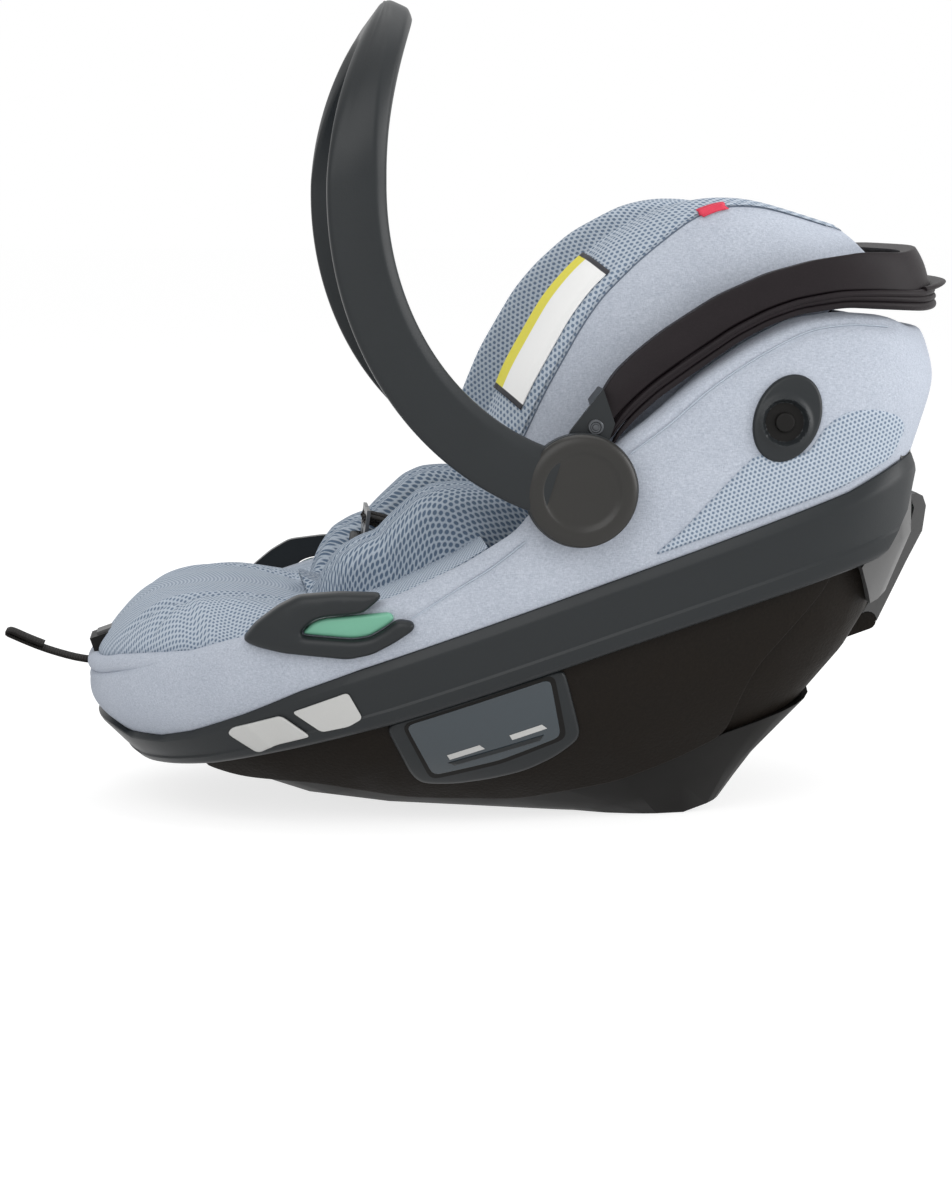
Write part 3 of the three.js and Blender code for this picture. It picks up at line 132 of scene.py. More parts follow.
def volume_of(points, faces):
    """Signed volume of a closed quad mesh, positive where the faces point outwards."""
    a, b, c, d = (points[faces[:, k]] for k in range(4))
    return (np.einsum("ij,ij->i", a, np.cross(b, c)) + np.einsum("ij,ij->i", a, np.cross(c, d))).sum()


def make_mesh(name, points, faces, uv, sharp):
    """Mesh object from seat places, smooth except along edges sharper than the given angle."""
    mesh = bpy.data.meshes.new(name)
    faces = faces.tolist() if isinstance(faces, np.ndarray) else faces
    mesh.from_pydata(to_model(points).tolist(), [], [list(dict.fromkeys(f)) for f in faces])
    mesh.validate()
    if uv is not None:
        corner = np.zeros(len(mesh.loops), int)
        mesh.loops.foreach_get("vertex_index", corner)
        layer = mesh.uv_layers.new(name="UVMap")
        layer.data.foreach_set("uv", np.asarray(uv, float)[corner].reshape(-1))
    mesh.shade_smooth()
    mesh.set_sharp_from_angle(angle=math.radians(sharp))
    piece = bpy.data.objects.new(name, mesh)
    bpy.context.scene.collection.objects.link(piece)
    return piece


def surface(name, grid, form="sheet", uv=None, sharp=50):
    """Object over a grid of places: a sheet is open, a tube is a row of rings with its ends closed by fans,
    and a torus wraps both ways."""
    rows, columns = grid.shape[:2]
    points = grid.reshape(-1, 3)
    faces = grid_faces(rows, columns, form == "torus", form != "sheet")
    flat = None if uv is None else uv.reshape(-1, 2)
    if form == "tube":
        k = np.arange(columns)
        ahead = (k + 1) % columns
        last = (rows - 1) * columns
        start = np.stack([np.full(columns, len(points)), ahead, k, k], -1)
        stop = np.stack([np.full(columns, len(points) + 1), last + k, last + ahead, last + ahead], -1)
        points = np.vstack([points, grid[0].mean(0), grid[-1].mean(0)])
        faces = np.vstack([faces, start, stop])
        if flat is not None:
            flat = np.vstack([flat, uv[0].mean(0), uv[-1].mean(0)])
    if form != "sheet" and volume_of(points, faces) < 0:
        faces = faces[:, ::-1]
    return make_mesh(name, points, faces, flat, sharp)


def finish_piece(piece, material, body="carrier", replaces=()):
    """Material, body and the CAD nodes it stands for, in one call."""
    piece.data.materials.append(material)
    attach(piece, body)
    if replaces:
        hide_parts(*replaces)
    return piece


def modify(piece, kind, **settings):
    """Adds one modifier with its settings."""
    modifier = piece.modifiers.new(kind.lower(), kind)
    for key, value in settings.items():
        setattr(modifier, key, value)


print("grid helpers ready")

# %% [markdown]
# The shell's outer form is a stack of plan rings: a broad rounded nose and a squarer head end. The table
# gives, from the top of the wings to the foot, each ring's height, its two ends and its half width. The
# real moulding has no corners between those rings, so the table is read through a smoothed copy.

# %% The body's rings
BODY = np.array([
    [0.31, -0.564, 0.383, 0.887], [0.172, -0.571, 0.417, 0.948], [0.076, -0.577, 0.437, 0.98],
    [-0.069, -0.583, 0.43, 1], [-0.165, -0.584, 0.401, 1], [-0.262, -0.572, 0.374, 0.982],
    [-0.39, -0.542, 0.357, 0.963], [-0.48, -0.505, 0.339, 0.945], [-0.56, -0.455, 0.316, 0.915],
    [-0.628, -0.401, 0.293, 0.881], [-0.707, -0.337, 0.257, 0.825], [-0.803, -0.243, 0.194, 0.732],
    [-0.903, -0.143, 0.116, 0.639], [-1, -0.079, 0.063, 0.536]]) * [DEPTH, LENGTH, LENGTH, HALF]
CENTRE_SHARE, NOSE_POWER, HEAD_POWER = 0.6, 2.6, 5.0


def smoothed(table, spread=9.0, step=2.0):
    """Table read every 2 mm along its first column, each value the mean under a bell of the given spread.

    Beyond both ends the table runs on at its last slope."""
    table = table[np.argsort(table[:, 0])]
    place = table[:, 0]
    fine = np.arange(place[0] - 4 * spread, place[-1] + 4 * spread, step)
    bell = np.exp(-((np.arange(-4 * spread, 4 * spread + step, step) / spread) ** 2) / 2)
    half = len(bell) // 2
    columns = [fine]
    for column in table.T[1:]:
        first, last = np.diff(column)[[0, -1]] / np.diff(place)[[0, -1]]
        value = np.interp(fine, place, column)
        value += first * np.minimum(fine - place[0], 0) + last * np.maximum(fine - place[-1], 0)
        columns.append(np.convolve(np.pad(value, half, mode="edge"), bell / bell.sum(), "same")[half:-half])
    return np.array(columns)


BODY_FINE = smoothed(BODY)


def read(fine, place, column=1):
    """Value of a smoothed table's column at a place."""
    return np.interp(place, fine[0], fine[column])


def plan_ends(height, out):
    """Nose, head end and centre of the body's plan ring at a height, moved outward."""
    front, back = read(BODY_FINE, height, 1) - out, read(BODY_FINE, height, 2) + out
    return front, back, front + CENTRE_SHARE * (back - front)


def ring(angle, height, out):
    """Place on the body at a plan angle and height, moved outward.

    The plan is |x'|^n + |y'|^n = 1 round a centre at 0.6 of the length, with n = 2.6 at the nose and 5 at
    the head end; angle 0 looks to the head end and -90 degrees to the near side."""
    front, back, centre = plan_ends(height, out)
    side = read(BODY_FINE, height, 3) + out
    c, s = np.cos(angle), np.sin(angle)
    power = np.where(c > 0, HEAD_POWER, NOSE_POWER)
    reach = np.where(c > 0, back - centre, centre - front)
    x = centre + np.sign(c) * reach * np.abs(c) ** (2 / power)
    y = np.sign(s) * side * np.abs(s) ** (2 / power)
    return np.stack([x, y, height + np.zeros_like(x)], -1)


def angle_at(x, height, out):
    """Plan angle on the near side at which the body's ring passes a given x; the inverse of ring()."""
    front, back, centre = plan_ends(height, out)
    reach = np.where(x > centre, back - centre, centre - front)
    power = np.where(x > centre, HEAD_POWER, NOSE_POWER)
    share = np.clip((x - centre) / reach, -1, 1)
    return -np.arccos(np.sign(share) * np.abs(share) ** (power / 2))


def side_at(x, height, out=0.0):
    """Half width of the body at a place in side view."""
    return -ring(angle_at(x, height, out), height, out)[..., 1]


def shares(pairs):
    """Side-view points given as shares of the length and the depth, in millimetres."""
    return np.array(pairs) * [LENGTH, DEPTH]


RIM = smoothed(shares([
    [-0.62, -0.1], [-0.58, -0.1], [-0.55, -0.1], [-0.506, -0.092], [-0.429, -0.09], [-0.229, -0.114],
    [-0.143, -0.09], [-0.079, -0.055], [-0.035, 0.01], [0.02, 0.052], [0.073, 0.086], [0.106, 0.11],
    [0.173, 0.172], [0.233, 0.207], [0.29, 0.224], [0.341, 0.2], [0.39, 0.148], [0.413, 0.09],
    [0.5, 0.02]]), 6)
print("body rings", BODY_FINE.shape, "half width at the hub", round(float(side_at(0.0, 0.0)), 1))

# %% [markdown]
# Shader maths reads best when a socket behaves like a number, so one small class wraps it: + and * make
# Math nodes, and one method makes any other node. Every material then is a few lines that say what varies
# over the surface, and in which direction.

# %% Shader maths
def rgb(code):
    """A written colour such as b0b9c8 as the linear values a shader takes."""
    parts = [int(code[k:k + 2], 16) / 255 for k in (0, 2, 4)]
    return [c / 12.92 if c < 0.04045 else ((c + 0.055) / 1.055) ** 2.4 for c in parts] + [1.0]


class Value:
    """An output socket that adds and multiplies like a number, each time through one Math node."""

    def __init__(self, tree, socket):
        self.tree, self.socket = tree, socket

    def node(self, kind, settings, inputs, output=0):
        """Any node: its type, its settings, then its inputs by name or number, as values or links."""
        made = self.tree.nodes.new("ShaderNode" + kind)
        for key, value in settings.items():
            setattr(made, key, value)
        for key, value in inputs.items():
            if isinstance(value, Value):
                self.tree.links.new(value.socket, made.inputs[key])
            else:
                made.inputs[key].default_value = value
        return Value(self.tree, made.outputs[output])

    def math(self, operation, *terms):
        """One Math node that takes this value first."""
        return self.node("Math", {"operation": operation}, dict(enumerate((self, *terms))))

    def __add__(self, other): return self.math("ADD", other)
    def __sub__(self, other): return self.math("SUBTRACT", other)
    def __rsub__(self, other): return self.node("Math", {"operation": "SUBTRACT"}, {0: other, 1: self})
    def __mul__(self, other): return self.math("MULTIPLY", other)
    def __truediv__(self, other): return self.math("DIVIDE", other)
    __radd__, __rmul__ = __add__, __mul__

    def step(self, low, high):
        """0 below the low place, 1 above the high one, smooth between."""
        return self.node("MapRange", {"interpolation_type": "SMOOTHSTEP"}, {0: self, 1: low, 2: high})

    def stretch(self, x, y, z):
        """This place with each axis scaled."""
        return self.node("VectorMath", {"operation": "MULTIPLY"}, {0: self, 1: (x, y, z)})

    def noise(self, scale, detail):
        """Noise over this place; the scale counts its lumps in a metre."""
        return self.node("TexNoise", {}, {"Vector": self, "Scale": scale, "Detail": detail})

    def split(self):
        """The three numbers of a vector."""
        return [self.node("SeparateXYZ", {}, {0: self}, k) for k in range(3)]

    def tone(self, low, high):
        """Colour that runs from one to the other as this value goes from 0 to 1."""
        low, high = (rgb(c) if isinstance(c, str) else c for c in (low, high))
        return self.node("Mix", {"data_type": "RGBA"}, {0: self, 6: low, 7: high}, 2)


def material(name, look, roughness=0.5, metallic=0.0, **plain):
    """Material from look(place, uv), which gives the colour and, when it has them, roughness and height."""
    made = bpy.data.materials.new(name)
    made.use_nodes = True
    tree = made.node_tree
    shader = tree.nodes["Principled BSDF"]
    where = tree.nodes.new("ShaderNodeTexCoord")
    place, uv = Value(tree, where.outputs["Object"]), Value(tree, where.outputs["UV"])
    shader.inputs["Roughness"].default_value = roughness
    shader.inputs["Metallic"].default_value = metallic
    for key, value in plain.items():
        shader.inputs[key.replace("_", " ")].default_value = value
    parts = look(place, uv)
    tree.links.new(parts["colour"].socket, shader.inputs["Base Color"])
    if "rough" in parts:
        tree.links.new(parts["rough"].socket, shader.inputs["Roughness"])
    if "height" in parts:
        bump = place.node("Bump", {}, {"Height": parts["height"], "Distance": 1.0, "Strength": 1.0})
        tree.links.new(bump.socket, shader.inputs["Normal"])
    return made


print("shader maths ready")

# %% [markdown]
# Knitted cover cloth is melange: light and dark fibres lie side by side, so the colour flickers over about
# a millimetre. Two noises stretched along and across the yarn give that, and the same values lift the
# surface a little. Spacer mesh is a net over a darker layer: round holes stand in rows, each row moved by
# half a step, so a hole is a distance from the middle of its cell, worked out from the piece's own UV in
# millimetres. The holes' dark colour is that layer together with painted shade inside the holes. The
# canopy's thin cloth is almost plain, with a fine grain.

# %% Cloths
def melange(dark, light):
    """Share of light fibre from two crossed noises and a slow drift."""
    def look(place, uv):
        fibre = (place.stretch(1, 1, 0.35).noise(1500, 3) * 0.5
                 + place.stretch(0.3, 1, 1).noise(1100, 2) * 0.5)
        share = (fibre - 0.5) * 2.4 + (place.noise(22, 2) - 0.5) * 0.3 + 0.5
        return {"colour": share.tone(dark, light), "height": fibre * 0.0003}
    return look


def net(dark, light, pitch, hole):
    """Holes of one radius in staggered rows, as in a net of even triangles, whose rows lie 0.866 of the
    pitch apart. The threads between them stand 0.4 mm proud. The holes take the dark colour, which is the
    layer below together with painted shade in the holes."""
    row_height = pitch * 0.866

    def look(place, uv):
        u, v, _ = uv.split()
        row = v / row_height
        column = u / pitch + row.math("FLOOR").math("MODULO", 2.0) * 0.5
        du = (column.math("FRACT") - 0.5) * pitch
        dv = (row.math("FRACT") - 0.5) * row_height
        # Dark in the holes, light on the threads: the darker layer below plus painted shade in the holes.
        thread = (du * du + dv * dv).math("SQRT").step(hole * 0.72, hole * 1.28)
        share = thread * (place.noise(900, 2) * 0.5 + 0.55)
        return {"colour": share.tone(dark, light),
                "height": thread * 0.0004 + place.noise(1500, 2) * 0.0001}
    return look


def plain_cloth(dark, light):
    """Fine grain under a slow drift of the colour."""
    def look(place, uv):
        grain = place.noise(1800, 2)
        share = (grain - 0.5) * 1.5 + (place.noise(30, 2) - 0.5) * 0.5 + 0.5
        return {"colour": share.tone(dark, light), "height": grain * 0.00012}
    return look


cloth = material("cover_cloth", melange("9aa1ae", "c0c6d0"), 0.92, Specular_IOR_Level=0.2)
mesh_cloth = material("pad_mesh", net("64758a", "bcc5cf", 4.4, 1.3), 0.88)
cushion_mesh = material("cushion_mesh", net("6c7c8f", "bcc5d0", 3.6, 1.05), 0.88)
inlay_mesh = material("inlay_mesh", net("55677c", "b3bdc8", 5.2, 1.75), 0.88)
canopy_cloth = material("canopy_cloth", plain_cloth("141012", "211b1e"), 0.5, Specular_IOR_Level=0.15)
print("cloths", cloth.name, mesh_cloth.name, canopy_cloth.name)

# %% [markdown]
# Moulded plastics carry a spark-eroded grain. A fine one gives the satin of the rails and the handle, a
# coarse one with deeper valleys gives the matt side panels. The pane and the label are smoother, and the
# belt ribs of the webbing run across it, so they come from its UV. The webbing's colour darkens into the
# valleys between the ribs, as painted shade.

# %% Plastics, metal and webbing
def grain(code, scale=900, depth=0.00005, spread=0.08, rough=(0.42, 0.55)):
    """Plain colour with a grain of the given depth and a roughness that wanders a little."""
    def look(place, uv):
        fine = place.noise(scale, 3)
        drift = place.noise(35, 2)
        base = rgb(code)
        low = [c * (1 - spread) for c in base[:3]] + [1.0]
        high = [c * (1 + spread) for c in base[:3]] + [1.0]
        return {"colour": (fine * 0.6 + drift * 0.4).tone(low, high), "height": fine * depth,
                "rough": drift * (rough[1] - rough[0]) + rough[0]}
    return look


def ribbed(dark, light, pitch=2.2):
    """Webbing: rounded ribs across the strap, from the length coordinate of its UV; the colour darkens into
    the valleys between the ribs as painted shade.
    """
    def look(place, uv):
        _, v, _ = uv.split()
        wave = (v * (2 * math.pi / pitch)).math("SINE") * 0.5 + 0.5
        # Rib valleys painted darker and crests lighter: painted shade across the ribs.
        return {"colour": (wave * 0.7 + place.noise(1500, 2) * 0.3).tone(dark, light),
                "height": wave * 0.0004}
    return look


dark_plastic = material("dark_plastic", grain("222527", rough=(0.34, 0.46)), Specular_IOR_Level=0.25)
hub_plastic = material("hub_plastic", grain("292826", rough=(0.3, 0.4)), Specular_IOR_Level=0.3)
textured = material("textured_plastic", grain("17130f", 420, 0.0005, 0.5, (0.55, 0.75)),
                    Specular_IOR_Level=0.12)
black_plastic = material("black_plastic", grain("131211", rough=(0.45, 0.6)), Specular_IOR_Level=0.15)
grey_plastic = material("grey_plastic", grain("4d4d4d"))
gloss = material("gloss_plastic", grain("28333a", 300, 0.0, 0.03, (0.16, 0.2)), Coat_Weight=0.3)
green = material("green_plastic", grain("6ba88e", 500, 0.00002, 0.03, (0.4, 0.5)))
pale = material("pale_plastic", grain("bcbcba", 700, 0.00003, 0.03, (0.45, 0.55)))
red_plastic = material("red_plastic", grain("b8323a", 700, 0.00003, 0.03, (0.3, 0.4)))
steel = material("steel", grain("a5a8ab", 700, 0.00002, 0.05, (0.25, 0.35)), metallic=1.0)
dark_steel = material("dark_steel", grain("55575a", 700, 0.00002, 0.05, (0.3, 0.4)), metallic=1.0)
webbing = material("webbing", ribbed("0d0c0b", "262321"), 0.85, Specular_IOR_Level=0.2)
print("plastics and metal ready")

# %% [markdown]
# Rigid pieces of the CAD frame that already have their true shape only need their edges softened. A copy
# of the node gets merged corners and a small bevel, and it stands for the node.

# %% Dressed CAD nodes
def dressed(node, material, bevel, angle=28):
    """Copy of a node with its corners merged and its edges rounded by a bevel of the given millimetres."""
    mesh = nodes[node].data
    places = np.zeros(len(mesh.vertices) * 3)
    mesh.vertices.foreach_get("co", places)
    places = places.reshape(-1, 3)
    corners = np.zeros(len(mesh.loops), int)
    mesh.loops.foreach_get("vertex_index", corners)
    _, first, index = np.unique((places * 1e5).round().astype(int), axis=0,
                                return_index=True, return_inverse=True)
    faces = index.reshape(-1)[corners].reshape(-1, 3)
    whole = (faces != np.roll(faces, 1, 1)).all(1)
    clean = bpy.data.meshes.new(node + "_dressed")
    clean.from_pydata(places[first].tolist(), [], faces[whole].tolist())
    clean.shade_smooth()
    clean.set_sharp_from_angle(angle=math.radians(angle))
    piece = bpy.data.objects.new(node + "_dressed", clean)
    bpy.context.scene.collection.objects.link(piece)
    if bevel:
        modify(piece, "BEVEL", width=bevel / 1000, segments=3, limit_method="ANGLE",
               angle_limit=math.radians(angle), use_clamp_overlap=True)
    return finish_piece(piece, material, nodes[node]["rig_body"], [node])


print("dressing ready")

# %% [markdown]
# Panels, hooks, frames and labels all are outlines drawn in side view and laid on the body. The outline is
# filled with triangles by a constrained Delaunay net, with extra rows of points just inside the edge, so
# that the edge can be rounded in the geometry itself.

# %% Pieces laid on the body
from mathutils.geometry import delaunay_2d_cdt

EDGE_ROWS = (0.12, 0.35, 0.7, 1.05)


def length_run(points):
    """Length run so far at each point of a polyline."""
    return np.concatenate([[0], np.cumsum(np.linalg.norm(np.diff(points, axis=0), axis=1))])


def at_run(points, want):
    """Places on a polyline at the wanted run lengths."""
    run = length_run(points)
    return np.stack([np.interp(want, run, column) for column in points.T], -1)


def dense(outline, step):
    """Closed outline with its corners kept and points between them at most one step apart."""
    ends = np.vstack([outline, outline[:1]]).astype(float)
    run = length_run(ends)
    count = max(3, int(np.ceil(run[-1] / step)))
    return at_run(ends, np.unique(np.concatenate([run, np.linspace(0, run[-1], count + 1)]).round(4))[:-1])


def rounded_rings(corners, radii, arcs, edges, crowns):
    """Closed rings of points: each corner becomes a curve, and each side between two swells outward."""
    def beside(step):
        way = np.roll(corners, step, 1) - corners
        length = np.linalg.norm(way, axis=-1, keepdims=True)
        return corners + way / length * np.minimum(np.array(radii)[:, None], 0.45 * length)
    before, after = beside(1), beside(-1)
    parts = []
    for k in range(corners.shape[1]):
        t = np.linspace(0, 1, arcs[k])[None, :, None]
        a, p, b = before[:, k, None], corners[:, k, None], after[:, k, None]
        parts.append((1 - t) ** 2 * a + 2 * t * (1 - t) * p + t ** 2 * b)
        t = np.linspace(0, 1, edges[k] + 2)[None, 1:-1, None]
        way = before[:, (k + 1) % corners.shape[1], None] - b
        out = np.stack([way[..., 1], -way[..., 0]], -1) / np.linalg.norm(way, axis=-1, keepdims=True)
        parts.append(b + way * t + out * crowns[k] * 4 * t * (1 - t))
    return np.concatenate(parts, 1)


def rounded(outline, radius, steps=5):
    """Closed outline with each corner replaced by a curve between two points beside it."""
    count = len(outline)
    corners = np.array([outline], float)
    return rounded_rings(corners, [radius] * count, [steps] * count, [0] * count, [0] * count)[0]


def distance_to(points, line, closed=False):
    """Distance from each point to a polyline in the plane."""
    line = np.vstack([line, line[:1]]) if closed else np.asarray(line, float)
    a, way = line[:-1], np.diff(line, axis=0)
    t = np.clip(((points[:, None] - a) * way).sum(-1) / np.maximum((way ** 2).sum(-1), 1e-9), 0, 1)
    return np.linalg.norm(points[:, None] - (a + t[..., None] * way), axis=-1).min(1)


def inside(points, outline):
    """Which points lie inside a closed outline, by crossings of a ray."""
    a, b = outline, np.roll(outline, -1, 0)
    x, y = points[:, None, 0], points[:, None, 1]
    cross = (a[:, 1] > y) != (b[:, 1] > y)
    run = np.where(b[:, 1] == a[:, 1], 1e-9, b[:, 1] - a[:, 1])
    return ((cross & (x < a[:, 0] + (y - a[:, 1]) / run * (b[:, 0] - a[:, 0]))).sum(1) % 2) == 1


def filled(outline, step, rows):
    """Triangles over an outline: its own points first, then rows just inside it, then an even field."""
    field = [outline]
    way = np.roll(outline, -1, 0) - np.roll(outline, 1, 0)
    across = np.stack([-way[:, 1], way[:, 0]], -1) / np.maximum(np.linalg.norm(way, axis=1), 1e-9)[:, None]
    for depth in rows:
        for sign in (1, -1):
            row = outline + sign * depth * across
            field.append(row[inside(row, outline) & (distance_to(row, outline, True) > depth * 0.93)])
    low, high = outline.min(0), outline.max(0)
    gx, gy = np.meshgrid(np.arange(low[0], high[0], step), np.arange(low[1], high[1], step * 0.866))
    gx = gx + (np.arange(gx.shape[0]) % 2)[:, None] * step / 2
    even = np.stack([gx.ravel(), gy.ravel()], -1)
    even = even[inside(even, outline)]
    field.append(even[distance_to(even, outline, True) > max(rows, default=0) + step * 0.4])
    count = len(outline)
    edges = [(k, (k + 1) % count) for k in range(count)]
    flat, _, faces, _, _, _ = delaunay_2d_cdt([tuple(p) for p in np.vstack(field)], edges, [], 1, 1e-5)
    return np.array([tuple(p) for p in flat]), np.array(faces)


def badge(name, outline, proud, rounding, base, depth, step, edge_step=4.0, bulge=None, side=-1):
    """Closed piece on the body's side: its top stands proud of the body by base + proud, less toward the
    edge by a quarter round, and its foot lies at base - depth. The far side's piece is its mirror image."""
    outline = dense(outline, edge_step)
    flat, faces = filled(outline, step, [rounding * k for k in EDGE_ROWS] if rounding else [])
    away = distance_to(flat, outline, True)
    share = np.clip(away / max(rounding, 1e-6), 0, 1)
    lift = base + proud - rounding * (1 - np.sqrt(np.maximum(0, 1 - (1 - share) ** 2)))
    lift = lift + (bulge(flat, away) if bulge else 0)

    def laid(out):
        return np.stack([flat[:, 0], -side_at(flat[:, 0], flat[:, 1]) - out, flat[:, 1]], -1)
    points = np.vstack([laid(lift), laid(np.full(len(flat), base - depth))])
    points[:, 1] *= -side
    count = len(flat)
    ways = np.vstack([faces[:, [0, 1]], faces[:, [1, 2]], faces[:, [2, 0]]])
    rim = ways[~np.isin(ways @ [count, 1], ways @ [1, count])]
    walls = np.stack([rim[:, 1], rim[:, 0], rim[:, 0] + count, rim[:, 1] + count], -1)
    triangles = np.vstack([faces, faces[:, ::-1] + count])
    polygons = triangles.tolist() + walls.tolist()
    a, b, c = (points[triangles[:, k]] for k in range(3))
    if np.einsum("ij,ij->i", a, np.cross(b, c)).sum() < 0:
        polygons = [f[::-1] for f in polygons]
    return make_mesh(name, points, polygons, np.vstack([flat, flat]), sharp=35)


def lay(name, outline, corner, look, node=None, slot=None, **form):
    """Badge over an outline with rounded corners, finished; where a node is named, it stands for it."""
    piece = badge(name, rounded(outline, corner) if corner else outline, **form)
    return finish_piece(piece, look, "carrier", [node] if node else ())


print("outline tools ready")

# %% [markdown]
# Handles, straps, bows and stitch lines are sections carried along a path. Each section stands across the
# path, and its first axis leans to a guide direction, so a flat strap stays flat and a leg keeps its edge
# outward.

# %% Sweeps
def curve(points, count):
    """Smooth path through a few places (Catmull-Rom), with points evenly spaced along it."""
    points = np.asarray(points, float)
    ends = np.vstack([2 * points[0] - points[1], points, 2 * points[-1] - points[-2]])
    t = np.linspace(0, 1, 24, endpoint=False)[None, :, None]
    a, b, c, d = (ends[k:len(ends) - 3 + k, None] for k in range(4))
    fine = 0.5 * (2 * b + (c - a) * t + (2 * a - 5 * b + 4 * c - d) * t ** 2
                  + (3 * b - a - 3 * c + d) * t ** 3)
    fine = np.vstack([fine.reshape(-1, points.shape[1]), points[-1:]])
    return at_run(fine, np.linspace(0, length_run(fine)[-1], count))


def swept(path, guide, sections):
    """Grid of places: row i holds section i (pairs along the guide and across it) at path place i."""
    tangent = np.gradient(path, axis=0)
    tangent /= np.linalg.norm(tangent, axis=1, keepdims=True)
    guide = np.broadcast_to(np.asarray(guide, float), path.shape)
    out = guide - (guide * tangent).sum(1, keepdims=True) * tangent
    out /= np.linalg.norm(out, axis=1, keepdims=True)
    up = np.cross(tangent, out)
    sections = np.broadcast_to(sections, (len(path),) + sections.shape[-2:])
    return path[:, None] + sections[..., :1] * out[:, None] + sections[..., 1:] * up[:, None]


def oblong(width, height, radius, steps=5):
    """Rounded rectangle as a ring of pairs."""
    radius = min(radius, width / 2, height / 2)
    corners = []
    for k, (sx, sy) in enumerate([(1, 1), (-1, 1), (-1, -1), (1, -1)]):
        turn = (np.linspace(0, 1, steps) + k) * math.pi / 2
        middle = [sx * (width / 2 - radius), sy * (height / 2 - radius)]
        corners.append(np.stack([np.cos(turn), np.sin(turn)], -1) * radius + middle)
    return np.vstack(corners)


def arc_uv(grid):
    """UV in millimetres: at each place the length run so far, across the row and down the column."""
    u = np.linalg.norm(np.diff(grid, axis=1, prepend=grid[:, :1]), axis=-1).cumsum(1)
    v = np.linalg.norm(np.diff(grid, axis=0, prepend=grid[:1]), axis=-1).cumsum(0)
    return np.stack([u - u.mean(1, keepdims=True), v], -1)


def round_section(wide, high, count):
    """Ellipse as a ring of pairs."""
    turn = np.linspace(0, 2 * math.pi, count, endpoint=False)
    return np.stack([wide * np.cos(turn), high * np.sin(turn)], -1)


def tube(name, path, radius, count, sides):
    """Round cord along a path; used for piping and stitch lines."""
    grid = swept(curve(path, count), (0.0, 0.3, 1.0), round_section(radius, radius, sides))
    return surface(name, grid, "tube")


def lathe(name, profile, side, centre=(0.0, 0.0), count=96):
    """Turned piece round an axis across the seat; the profile holds radius and distance from the middle."""
    profile = np.asarray(profile, float)
    turn = np.linspace(0, 2 * math.pi, count, endpoint=False)
    r, y = profile[:, :1], profile[:, 1:]
    grid = np.stack([centre[0] + r * np.cos(turn), side * (y + 0 * turn), centre[1] + r * np.sin(turn)], -1)
    return surface(name, grid, "tube", sharp=40)


print("sweep tools ready")

# %% [markdown]
# The moulded base comes first: the dark rails that clip over the hem of the cover, the grey frame between
# them, the coarse side panels and the smooth tray under the shell. A rail is a section of pairs, distance
# off the body and height, carried round the body's plan from the middle of the nose to a slanted end.

# %% Rails
def bent(x, table):
    """Value of a side-view line at x."""
    return np.interp(x, *np.array(table).T)


RAIL_TOP = [(-412, -58), (-398, -68), (-388, -79), (-364, -86), (-338, -87), (-293, -84), (-248, -79),
            (-200, -77), (72, -75), (194, -73), (240, -67), (300, -66)]
RAIL_BOTTOM = [(-412, -98), (-388, -110), (-332, -118), (-268, -122), (-187, -126), (7, -128), (300, -133)]
RAIL_STOP = [(-134, 198), (-127, 213), (-100, 246), (-86, 256), (-60, 258)]
RAIL_SECTION = [(0.0, 0.02), (2.2, 0.0), (3.4, 0.015), (7.6, 0.13), (8.2, 0.17), (8.4, 0.22), (8.0, 0.6),
                (8.0, 0.72), (9.3, 0.76), (9.3, 0.88), (8.9, 0.93), (7.4, 0.975), (5.0, 1.0), (0.0, 1.0),
                (-2.0, 0.9), (-2.0, 0.1)]


def rail(side, name):
    """Rail band whose edges follow the side view; a section's second numbers are shares between the edges.

    The edges depend on x and x on the height, so a few rounds settle both."""
    out, share = np.array(RAIL_SECTION).T
    t = np.linspace(0, 1, 170)[:, None]
    height = -76 - 51 * share
    for _ in range(4):
        last = angle_at(bent(height, RAIL_STOP), height, out)
        turn = -math.pi + (last + math.pi) * t
        x = ring(turn, height + 0 * turn, out + 0 * turn)[..., 0]
        top, bottom = bent(x, RAIL_TOP), bent(x, RAIL_BOTTOM)
        height = top + (bottom - top) * share
    grid = ring(turn, height, out + 0 * turn)
    grid[..., 1] *= -side
    piece = surface(f"side_rail_{name}_skin", grid, "tube", sharp=22)
    return finish_piece(piece, dark_plastic, "carrier", ["side_rail_" + name])


rails = [rail(side, name) for side, name in SIDES]
print("rails", [len(piece.data.polygons) for piece in rails])

# %% [markdown]
# Panels, tray and frame behind the rails follow the same body. The two coarse panels are outlines laid on
# it, and each carries a frame round a glossy pane with a ledge and two pale marks. The tray below and the
# frame at the back keep their CAD form.

